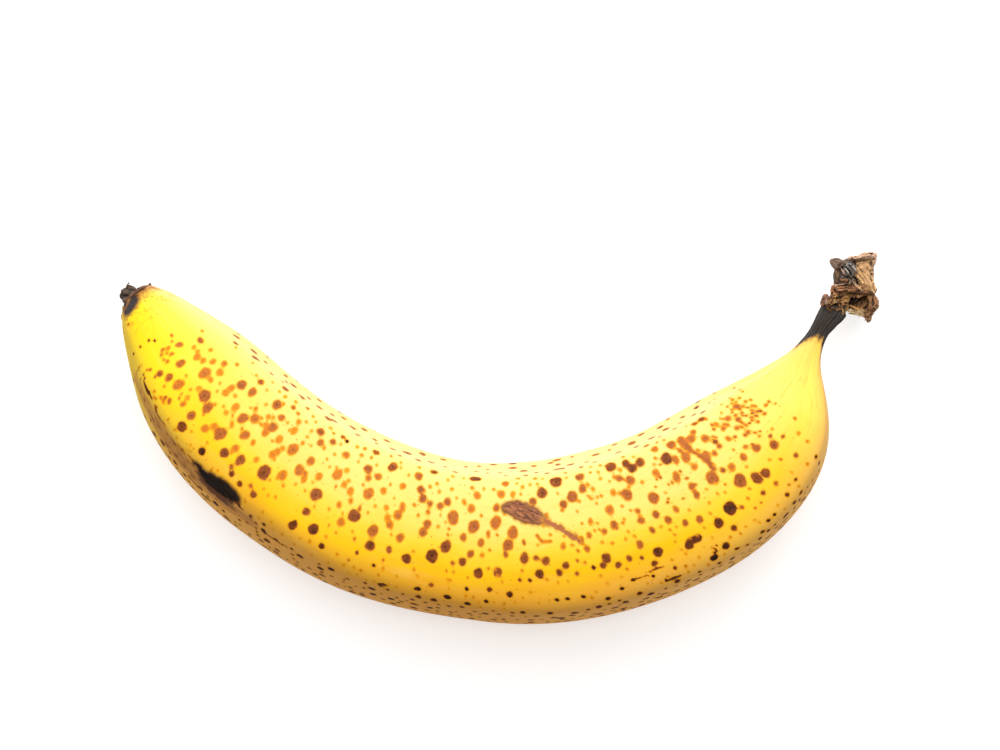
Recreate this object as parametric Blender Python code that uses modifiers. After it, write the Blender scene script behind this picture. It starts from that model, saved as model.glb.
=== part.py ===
"""Banana lying on its side: one closed solid in metres, +Z up.

+X runs toward the stem, +Y toward the hollow of the bend, and z = 0 is the table.
"""
import math

import bmesh
import bpy

MM = 0.001

# Path of the middle of the fruit in plan, from the blossom tip to the crown.
PATH_START = (-86.3, 34.2)
PATH_HEADINGS = (
    (0, -55.5), (15, -55), (24, -53), (38, -47), (54, -36.5), (77, -22.5),
    (100, -8.5), (115, 1), (131, 12.5), (154, 27), (169, 40), (181, 54),
    (190, 62), (200, 63.5), (208, 57), (213, 53), (218, 57),
)

# Thickness across the bend (seen in plan) at distances along the path.
WIDTHS = (
    (0, 7.4), (4, 13.4), (8, 17.4), (15, 23.6), (23, 29.6), (31, 33), (46, 36),
    (62, 37), (77, 37.6), (100, 37.2), (115, 38.4), (131, 39), (146, 38.6),
    (162, 37.6), (173, 35), (181, 31), (188, 24.4), (192, 19.2), (196, 13.8),
    (200, 9.2), (204, 6.2), (208, 5.4), (213, 6.8), (218, 7.6),
)

# Height of the underside above the table; below zero is settled flat.
UNDERSIDE = (
    (0, 11), (8, 7.4), (15, 4.4), (25, 1.6), (38, 0), (50, -0.5), (110, -0.5),
    (165, -0.5), (176, 0.4), (185, 3.4), (193, 7), (200, 9.4), (208, 10.4),
    (218, 9.6),
)

# Lateral thickness compared with the thickness across the bend.
LATERAL_RATIO = ((0, 1.0), (30, 0.94), (115, 0.93), (180, 0.96), (204, 1.12), (218, 1.12))

# Five blunt ridges, degrees round the section from the hollow side over the top.
RIDGES = (40, 138, 205, 275, 340)
RIDGE_REACH = 1.0
FACET_REACH = ((0, 0.92), (25, 0.83), (115, 0.80), (185, 0.79), (218, 0.86))
STATIONS = (
    0, 3, 8, 16, 26, 38, 52, 68, 84, 100, 116, 132, 148, 162, 174, 183, 190,
    196, 201, 206, 212, 218,
)
SMOOTHING_LEVELS = 2
EDGE_SEGMENTS = 2

# Blocks joined on as (name, plan outline, bottom, top, edge rounding), millimetres.
TORN_BLOCKS = (
    (
        "Calyx stub",
        ((-89.9, 34.9), (-88.6, 36.4), (-86.2, 35.6), (-85.2, 33.2), (-88.6, 32.4)),
        12.6, 17.6, 0.5,
    ),
    (
        "Crown shoulder",
        ((77.2, 31.4), (77.4, 33.8), (79.4, 34.4), (83.2, 36.0), (85.4, 31.0), (81.4, 27.6)),
        8.6, 18.6, 1.1,
    ),
    (
        "Crown head",
        ((80.4, 33.4), (79.6, 38.6), (80.4, 42.0), (84.6, 43.9), (89.6, 44.1), (89.8, 33.2)),
        7.6, 19.8, 1.4,
    ),
    (
        "Crown horn",
        ((78.2, 42.8), (81.6, 42.6), (82.4, 39.2), (79.2, 40.2)),
        11.6, 16.8, 0.5,
    ),
    (
        "Crown flap",
        ((82.6, 35.4), (88.8, 35.4), (90.1, 31.6), (88.0, 27.5), (83.4, 29.4)),
        9.4, 17.0, 0.8,
    ),
)

LUMP_BOTTOM = 0.74
LUMP_TOP = 0.78

REST_CUT_REACH = 120
REST_CUT_DEPTH = 12

PEEL_COLOUR = (0.90, 0.62, 0.03, 1.0)
PEEL_ROUGHNESS = 0.42


def eased(table, at):
    """Value of a station table at a distance, with a smooth curve through it."""
    places = [row[0] for row in table]
    values = [row[1] for row in table]
    if at <= places[0]:
        return values[0]
    if at >= places[-1]:
        return values[-1]
    i = max(k for k in range(len(places) - 1) if places[k] <= at)

    def slope(k):
        if k == 0 or k == len(places) - 1:
            j = min(k, len(places) - 2)
            return (values[j + 1] - values[j]) / (places[j + 1] - places[j])
        return (values[k + 1] - values[k - 1]) / (places[k + 1] - places[k - 1])

    span = places[i + 1] - places[i]
    t = (at - places[i]) / span
    start = (1 + 2 * t) * (1 - t) ** 2 * values[i] + t * (1 - t) ** 2 * span * slope(i)
    end = t * t * (3 - 2 * t) * values[i + 1] + t * t * (t - 1) * span * slope(i + 1)
    return start + end


def path_point(at):
    """Plan position and heading of the path at a distance along it."""
    steps = max(1, round(at))
    x, y = PATH_START
    for k in range(steps):
        heading = math.radians(eased(PATH_HEADINGS, (k + 0.5) * at / steps))
        x += math.cos(heading) * at / steps
        y += math.sin(heading) * at / steps
    return x, y, math.radians(eased(PATH_HEADINGS, at))


def section(at):
    """Points of one cage ring as (toward the hollow side, up), millimetres."""
    reach = eased(FACET_REACH, at)
    ring = []
    for k, ridge in enumerate(RIDGES):
        following = RIDGES[(k + 1) % len(RIDGES)] + (360 if k + 1 == len(RIDGES) else 0)
        ring.append((math.radians(ridge), RIDGE_REACH))
        ring.append((math.radians((ridge + following) / 2), reach))
    flat = [(r * math.cos(a), r * math.sin(a)) for a, r in ring]
    count = len(flat)
    settled = []
    for k in range(count):
        before, here, after = flat[k - 1], flat[k], flat[(k + 1) % count]
        settled.append(tuple((before[n] + 4 * here[n] + after[n]) / 6 for n in (0, 1)))
    low_u = min(p[0] for p in settled)
    high_u = max(p[0] for p in settled)
    low_v = min(p[1] for p in settled)
    high_v = max(p[1] for p in settled)
    width = eased(WIDTHS, at)
    height = width * eased(LATERAL_RATIO, at)
    underside = eased(UNDERSIDE, at)
    points = []
    for u, v in flat:
        across = (u - (low_u + high_u) / 2) * width / (high_u - low_u)
        above = underside + (v - low_v) * height / (high_v - low_v)
        points.append((across, above))
    return points


def new_object(name, mesh_maker, collection):
    """Object holding the mesh that mesh_maker fills in."""
    mesh = bpy.data.meshes.new(name)
    work = bmesh.new()
    mesh_maker(work)
    bmesh.ops.recalc_face_normals(work, faces=work.faces)
    work.to_mesh(mesh)
    work.free()
    thing = bpy.data.objects.new(name, mesh)
    collection.objects.link(thing)
    return thing


def smooth(thing, levels):
    """Subdivision Surface with the same level on screen and in the result."""
    modifier = thing.modifiers.new("Smooth skin", "SUBSURF")
    modifier.levels = levels
    modifier.render_levels = levels


def fill_fruit(work):
    """Rings of the cage along the path, skinned and closed at both ends."""
    rings = []
    for at in STATIONS:
        x, y, heading = path_point(at)
        ring = []
        for across, above in section(at):
            px = x - math.sin(heading) * across
            py = y + math.cos(heading) * across
            ring.append(work.verts.new((px * MM, py * MM, above * MM)))
        rings.append(ring)
    for first, second in zip(rings, rings[1:]):
        for k in range(len(first)):
            j = (k + 1) % len(first)
            work.faces.new((first[k], first[j], second[j], second[k]))
    work.faces.new(list(reversed(rings[0])))
    work.faces.new(rings[-1])


def block_filler(outline, bottom, top):
    """Filler for a lump that is widest at half height and drawn in above and below."""

    def fill(work):
        middle_x = sum(x for x, y in outline) / len(outline)
        middle_y = sum(y for x, y in outline) / len(outline)
        rings = []
        for height, share in ((bottom, LUMP_BOTTOM), ((bottom + top) / 2, 1.0), (top, LUMP_TOP)):
            ring = []
            for x, y in outline:
                px = middle_x + (x - middle_x) * share
                py = middle_y + (y - middle_y) * share
                ring.append(work.verts.new((px * MM, py * MM, height * MM)))
            rings.append(ring)
        for first, second in zip(rings, rings[1:]):
            for k in range(len(first)):
                j = (k + 1) % len(first)
                work.faces.new((first[k], first[j], second[j], second[k]))
        work.faces.new(list(reversed(rings[0])))
        work.faces.new(rings[-1])

    return fill


def round_edges(thing, radius):
    """Bevel that takes the sharpness off every edge."""
    modifier = thing.modifiers.new("Worn edges", "BEVEL")
    modifier.width = radius * MM
    modifier.segments = EDGE_SEGMENTS
    modifier.limit_method = "NONE"


def boolean(thing, name, other, operation):
    """Exact Boolean of another object onto this one."""
    modifier = thing.modifiers.new(name, "BOOLEAN")
    modifier.operation = operation
    modifier.solver = "EXACT"
    modifier.object = other


def fill_table_block(work):
    """Block below the table plane that trims the settled underside."""
    bmesh.ops.create_cube(work, size=1.0)
    for vert in work.verts:
        vert.co.x *= 2 * REST_CUT_REACH * MM
        vert.co.y *= 2 * REST_CUT_REACH * MM
        vert.co.z = (vert.co.z - 0.5) * REST_CUT_DEPTH * MM


for leftover in list(bpy.data.objects):
    bpy.data.objects.remove(leftover, do_unlink=True)

scene_root = bpy.context.scene.collection
banana_group = bpy.data.collections.new("Banana")
scene_root.children.link(banana_group)
cutter_group = bpy.data.collections.new("Cutters")
scene_root.children.link(cutter_group)

banana = new_object("banana", fill_fruit, banana_group)
smooth(banana, SMOOTHING_LEVELS)

for name, outline, bottom, top, rounding in TORN_BLOCKS:
    block = new_object(name, block_filler(outline, bottom, top), cutter_group)
    round_edges(block, rounding)
    boolean(banana, f"Join {name.lower()}", block, "UNION")

table_block = new_object("Table block", fill_table_block, cutter_group)
boolean(banana, "Settled underside", table_block, "DIFFERENCE")

for helper in cutter_group.objects:
    helper.hide_render = True
    helper.display_type = "WIRE"

peel = bpy.data.materials.new("Ripe peel")
peel.use_nodes = True
shader = peel.node_tree.nodes["Principled BSDF"]
shader.inputs["Base Color"].default_value = PEEL_COLOUR
shader.inputs["Roughness"].default_value = PEEL_ROUGHNESS
shader.inputs["Metallic"].default_value = 0.0
banana.data.materials.append(peel)
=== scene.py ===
"""Ripe spotted banana lying on its side, with the plain studio that shows it.

The peel is one fine closed mesh. Its spots, bruise, scar and scuffs are worked out as
masks on the mesh, and the peel material paints them. The torn crown, the loose fibres
and the dried flower remnant are pieces of their own that ride with the fruit.
"""
import math
from itertools import product

import bmesh
import bpy
import numpy as np
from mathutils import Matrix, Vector, bvhtree, kdtree, noise


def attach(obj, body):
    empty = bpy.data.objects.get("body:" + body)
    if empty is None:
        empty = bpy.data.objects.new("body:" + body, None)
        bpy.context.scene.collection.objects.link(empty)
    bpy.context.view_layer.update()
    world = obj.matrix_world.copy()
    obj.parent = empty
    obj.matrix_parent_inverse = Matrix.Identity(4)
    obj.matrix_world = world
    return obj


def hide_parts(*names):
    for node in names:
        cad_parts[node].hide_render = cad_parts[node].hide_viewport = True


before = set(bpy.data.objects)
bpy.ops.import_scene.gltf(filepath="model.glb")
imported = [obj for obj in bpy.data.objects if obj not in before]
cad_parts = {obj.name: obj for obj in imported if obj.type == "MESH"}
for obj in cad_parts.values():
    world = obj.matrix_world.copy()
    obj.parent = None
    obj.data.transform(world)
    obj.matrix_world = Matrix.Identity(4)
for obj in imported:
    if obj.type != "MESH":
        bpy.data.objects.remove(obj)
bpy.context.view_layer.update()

bl_info = {
    "name": "Spotted banana",
    "version": (1, 0, 0),
    "blender": (4, 5, 0),
    "location": "3D View > Sidebar > Banana",
    "description": "Builds a ripe banana with a spotted peel and a torn crown",
    "category": "Object",
}

MM = 0.001
NODE = "banana"
BODY = "root"
BARK_FINISH = "dry_torn_bark"

# ------------------------ shape of the fruit

PATH_START = (-86.3, 34.2)
PATH_HEADINGS = (
    (0, -55.5), (15, -55), (24, -53), (38, -47), (54, -36.5), (77, -22.5),
    (100, -8.5), (115, 1), (131, 12.5), (154, 27), (169, 40), (181, 54),
    (190, 62), (200, 63.5), (208, 57), (213, 53), (218, 57),
)
WIDTHS = (
    (0, 7.4), (4, 13.4), (8, 17.4), (15, 23.6), (23, 29.6), (31, 33), (46, 36),
    (62, 37), (77, 37.6), (100, 37.2), (115, 38.4), (131, 39), (146, 38.6),
    (162, 37.6), (173, 35), (181, 31), (188, 24.6), (192, 19.6), (196, 14.1),
    (200, 8.7), (204, 5.6), (208, 4.7), (212, 6.2), (218, 7.6),
)
UNDERSIDE = (
    (0, 11), (8, 7.4), (15, 4.4), (25, 1.6), (38, 0), (50, -0.5), (110, -0.5),
    (165, -0.5), (176, 0.4), (185, 3.4), (193, 7), (200, 9.4), (208, 10.4),
    (218, 9.6),
)
LATERAL_RATIO = ((0, 1.0), (30, 0.94), (115, 0.93), (180, 0.96), (204, 1.12), (218, 1.12))
RIDGES = (40, 138, 205, 275, 340)
RIDGE_SHARPNESS = (0.55, 0.75, 0.5, 0.3, 0.5)
OUTER_RIDGE = ((0, 138), (14, 124), (60, 121), (90, 128), (120, 132), (218, 134))
FACET_REACH = ((0, 0.92), (25, 0.83), (115, 0.80), (185, 0.79), (218, 0.86))

PATH_STEP = 0.25
PATH_END = 215.0
# How far the small corners of each line are rounded.
SOFTNESS = {"width": 1.2, "underside": 2.0, "reach": 4.0, "heading": 2.5}
AROUND = 216
FACET_SHARPNESS = 0.6
RIDGE_BLUR = 4.4
RIDGE_BLUR_REACH = 9
# Extra width of the skin on the outer side only.
OUTER_GAIN = (
    (0, 0.0), (14, 0.2), (36, 0.6), (56, 0.25), (80, 0.35), (105, 0.15), (140, 0.45),
    (160, 0.7), (186, 1.1), (196, 0.8), (203, 0.2), (209, -0.5), (212, -0.7), (214, -0.6),
    (218, -0.8),
)
# Where each spacing of the peel's rings starts, and the spacing.
RING_STEPS = ((0.0, 0.42), (20.0, 0.53), (184.0, 0.40))

# Rings that close the tip and the stem: share of the end ring, and distance along the path.
TIP_CAP = ((0.95, -0.22), (0.84, -0.26), (0.70, 0.05), (0.50, 0.32), (0.28, 0.42), (0.10, 0.44))
STEM_CAP = ((0.90, 0.25), (0.74, 0.05), (0.6, -0.7), (0.35, -1.1), (0.12, -1.2))


def eased(table, at):
    """Smooth curve through the rows of a table, read at every distance in at."""
    places, values = np.array(table, float).T
    inner = (values[2:] - values[:-2]) / (places[2:] - places[:-2])
    first = (values[1] - values[0]) / (places[1] - places[0])
    last = (values[-1] - values[-2]) / (places[-1] - places[-2])
    slopes = np.concatenate(([first], inner, [last]))
    at = np.clip(at, places[0], places[-1])
    i = np.clip(np.searchsorted(places, at, side="right") - 1, 0, len(places) - 2)
    span = places[i + 1] - places[i]
    t = (at - places[i]) / span
    start = (1 + 2 * t) * (1 - t) ** 2 * values[i] + t * (1 - t) ** 2 * span * slopes[i]
    end = t * t * (3 - 2 * t) * values[i + 1] + t * t * (t - 1) * span * slopes[i + 1]
    return start + end


def read_table(table, at):
    """Straight lines between the rows of a table, read at every value in at."""
    return np.interp(at, *np.array(table, float).T)


def softened(values, spread):
    """Values every PATH_STEP with their small corners rounded over spread millimetres."""
    reach = int(3 * spread / PATH_STEP)
    weights = np.exp(-0.5 * (np.arange(-reach, reach + 1) * PATH_STEP / spread) ** 2)
    padded = np.concatenate((
        2 * values[0] - values[reach:0:-1],
        values,
        2 * values[-1] - values[-2 : -reach - 2 : -1],
    ))
    return np.convolve(padded, weights / weights.sum(), mode="valid")


class FruitLines:
    """Smooth lines that the whole fruit is drawn from, in millimetres."""

    def __init__(self):
        self.at = np.arange(0, PATH_END + 3, PATH_STEP)
        self.width = self.line(WIDTHS, "width")
        self.height = self.width * eased(LATERAL_RATIO, self.at)
        self.underside = self.line(UNDERSIDE, "underside")
        self.reach = self.line(FACET_REACH, "reach")
        self.heading = np.radians(self.line(PATH_HEADINGS, "heading"))
        middle = (self.heading[1:] + self.heading[:-1]) / 2
        steps_x = np.cos(middle) * PATH_STEP
        steps_y = np.sin(middle) * PATH_STEP
        self.x = PATH_START[0] + np.concatenate(([0], np.cumsum(steps_x)))
        self.y = PATH_START[1] + np.concatenate(([0], np.cumsum(steps_y)))

    def line(self, table, name):
        return softened(eased(table, self.at), SOFTNESS[name])

    def read(self, name, at):
        return np.interp(at, self.at, getattr(self, name))


def section_basis():
    """Weights that turn the ten corner points of a section into a smooth ring."""
    corners = 2 * len(RIDGES)
    sharpness = np.full(corners, FACET_SHARPNESS)
    sharpness[::2] = RIDGE_SHARPNESS
    basis = np.zeros((AROUND, corners))
    for j in range(AROUND):
        place = j * corners / AROUND
        i = int(place)
        t = place - i
        weights = (
            (1 - t) ** 3 / 6,
            (3 * t ** 3 - 6 * t * t + 4) / 6,
            (-3 * t ** 3 + 3 * t * t + 3 * t + 1) / 6,
            t ** 3 / 6,
        )
        sharp = sharpness[i] * (1 - t) + sharpness[(i + 1) % corners] * t
        for k, weight in enumerate(weights):
            basis[j, (i + k - 1) % corners] += weight * (1 - sharp)
        basis[j, i] += (1 - t) * sharp
        basis[j, (i + 1) % corners] += t * sharp
    offsets = np.arange(-RIDGE_BLUR_REACH, RIDGE_BLUR_REACH + 1)
    blur = np.exp(-0.5 * (offsets / RIDGE_BLUR) ** 2)
    blur /= blur.sum()
    return sum(weight * np.roll(basis, k, axis=0) for k, weight in zip(offsets, blur))


def section_rings(lines, at):
    """Section points (stations, around, 2): toward the hollow side and up from the table."""
    ridges = np.repeat(np.array(RIDGES, float)[None, :], len(at), axis=0)
    ridges[:, 1] = read_table(OUTER_RIDGE, at)
    following = np.roll(ridges, -1, axis=1)
    following[:, -1] += 360
    angles = np.empty((len(at), 2 * len(RIDGES)))
    angles[:, ::2] = ridges
    angles[:, 1::2] = (ridges + following) / 2
    angles = np.radians(angles)
    reach = np.ones(angles.shape)
    reach[:, 1::2] = lines.read("reach", at)[:, None]
    corners = np.stack((reach * np.cos(angles), reach * np.sin(angles)), axis=2)
    rings = np.einsum("jk,skn->sjn", section_basis(), corners)
    low = rings.min(axis=1, keepdims=True)
    high = rings.max(axis=1, keepdims=True)
    width = lines.read("width", at)[:, None]
    height = lines.read("height", at)[:, None]
    middle = (low + high) / 2
    gain = read_table(OUTER_GAIN, at)[:, None]
    extent = high - low
    across = (rings[..., 0] - middle[..., 0]) * (width + gain) / extent[..., 0] - gain / 2
    above = (rings[..., 1] - low[..., 1]) * height / extent[..., 1]
    return across, above + lines.read("underside", at)[:, None]


def ring_distances():
    """Distances along the path where the peel mesh has a ring."""
    at = []
    ends = [start for start, step in RING_STEPS[1:]] + [PATH_END]
    for (start, step), end in zip(RING_STEPS, ends):
        count = max(2, round((end - start) / step))
        at += list(np.linspace(start, end, count, endpoint=False))
    return np.array(at + [PATH_END])


def skin_grid(lines):
    """Peel points (rings, around, 3) in millimetres, ring distances and turns in degrees."""
    at = ring_distances()
    share = np.ones(len(at))
    tip = np.array(TIP_CAP[::-1])
    stem = np.array(STEM_CAP)
    at = np.concatenate((tip[:, 1], at, PATH_END + stem[:, 1]))
    share = np.concatenate((tip[:, 0], share, stem[:, 0]))
    inside = np.clip(at, 0, PATH_END)
    inside[: len(tip)] = 0
    inside[-len(stem) :] = PATH_END
    across, above = section_rings(lines, inside)
    centre = above.mean(axis=1, keepdims=True)
    turn = np.degrees(np.arctan2(above - centre, across))
    across = across * share[:, None]
    above = centre + (above - centre) * share[:, None]
    heading = lines.read("heading", inside)
    ahead = np.zeros(len(at))
    ahead[: len(tip)] = tip[:, 1]
    ahead[-len(stem) :] = stem[:, 1]
    x = lines.read("x", inside) + np.cos(heading) * ahead
    y = lines.read("y", inside) + np.sin(heading) * ahead
    points = np.stack(
        (
            x[:, None] - np.sin(heading)[:, None] * across,
            y[:, None] + np.cos(heading)[:, None] * across,
            above,
        ),
        axis=2,
    )
    return points, at, turn


def grid_normals(points):
    """Outward unit normals of a closed ring grid, and its unit directions along the path."""
    along = np.gradient(points, axis=0)
    around = np.roll(points, -1, axis=1) - np.roll(points, 1, axis=1)
    normals = np.cross(around, along)
    normals /= np.maximum(np.linalg.norm(normals, axis=2, keepdims=True), 1e-9)
    along /= np.maximum(np.linalg.norm(along, axis=2, keepdims=True), 1e-9)
    return normals, along


def cloud(points, size, seed):
    """Smooth noise from -1 to 1 at points (n, 3), with features about size across."""
    shift = Vector((seed * 7.31, seed * 3.17, seed * 5.73))
    values = [noise.noise(Vector(p) + shift) for p in (points / size).tolist()]
    return np.array(values)


# ------------------------ marks on the peel

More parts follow.
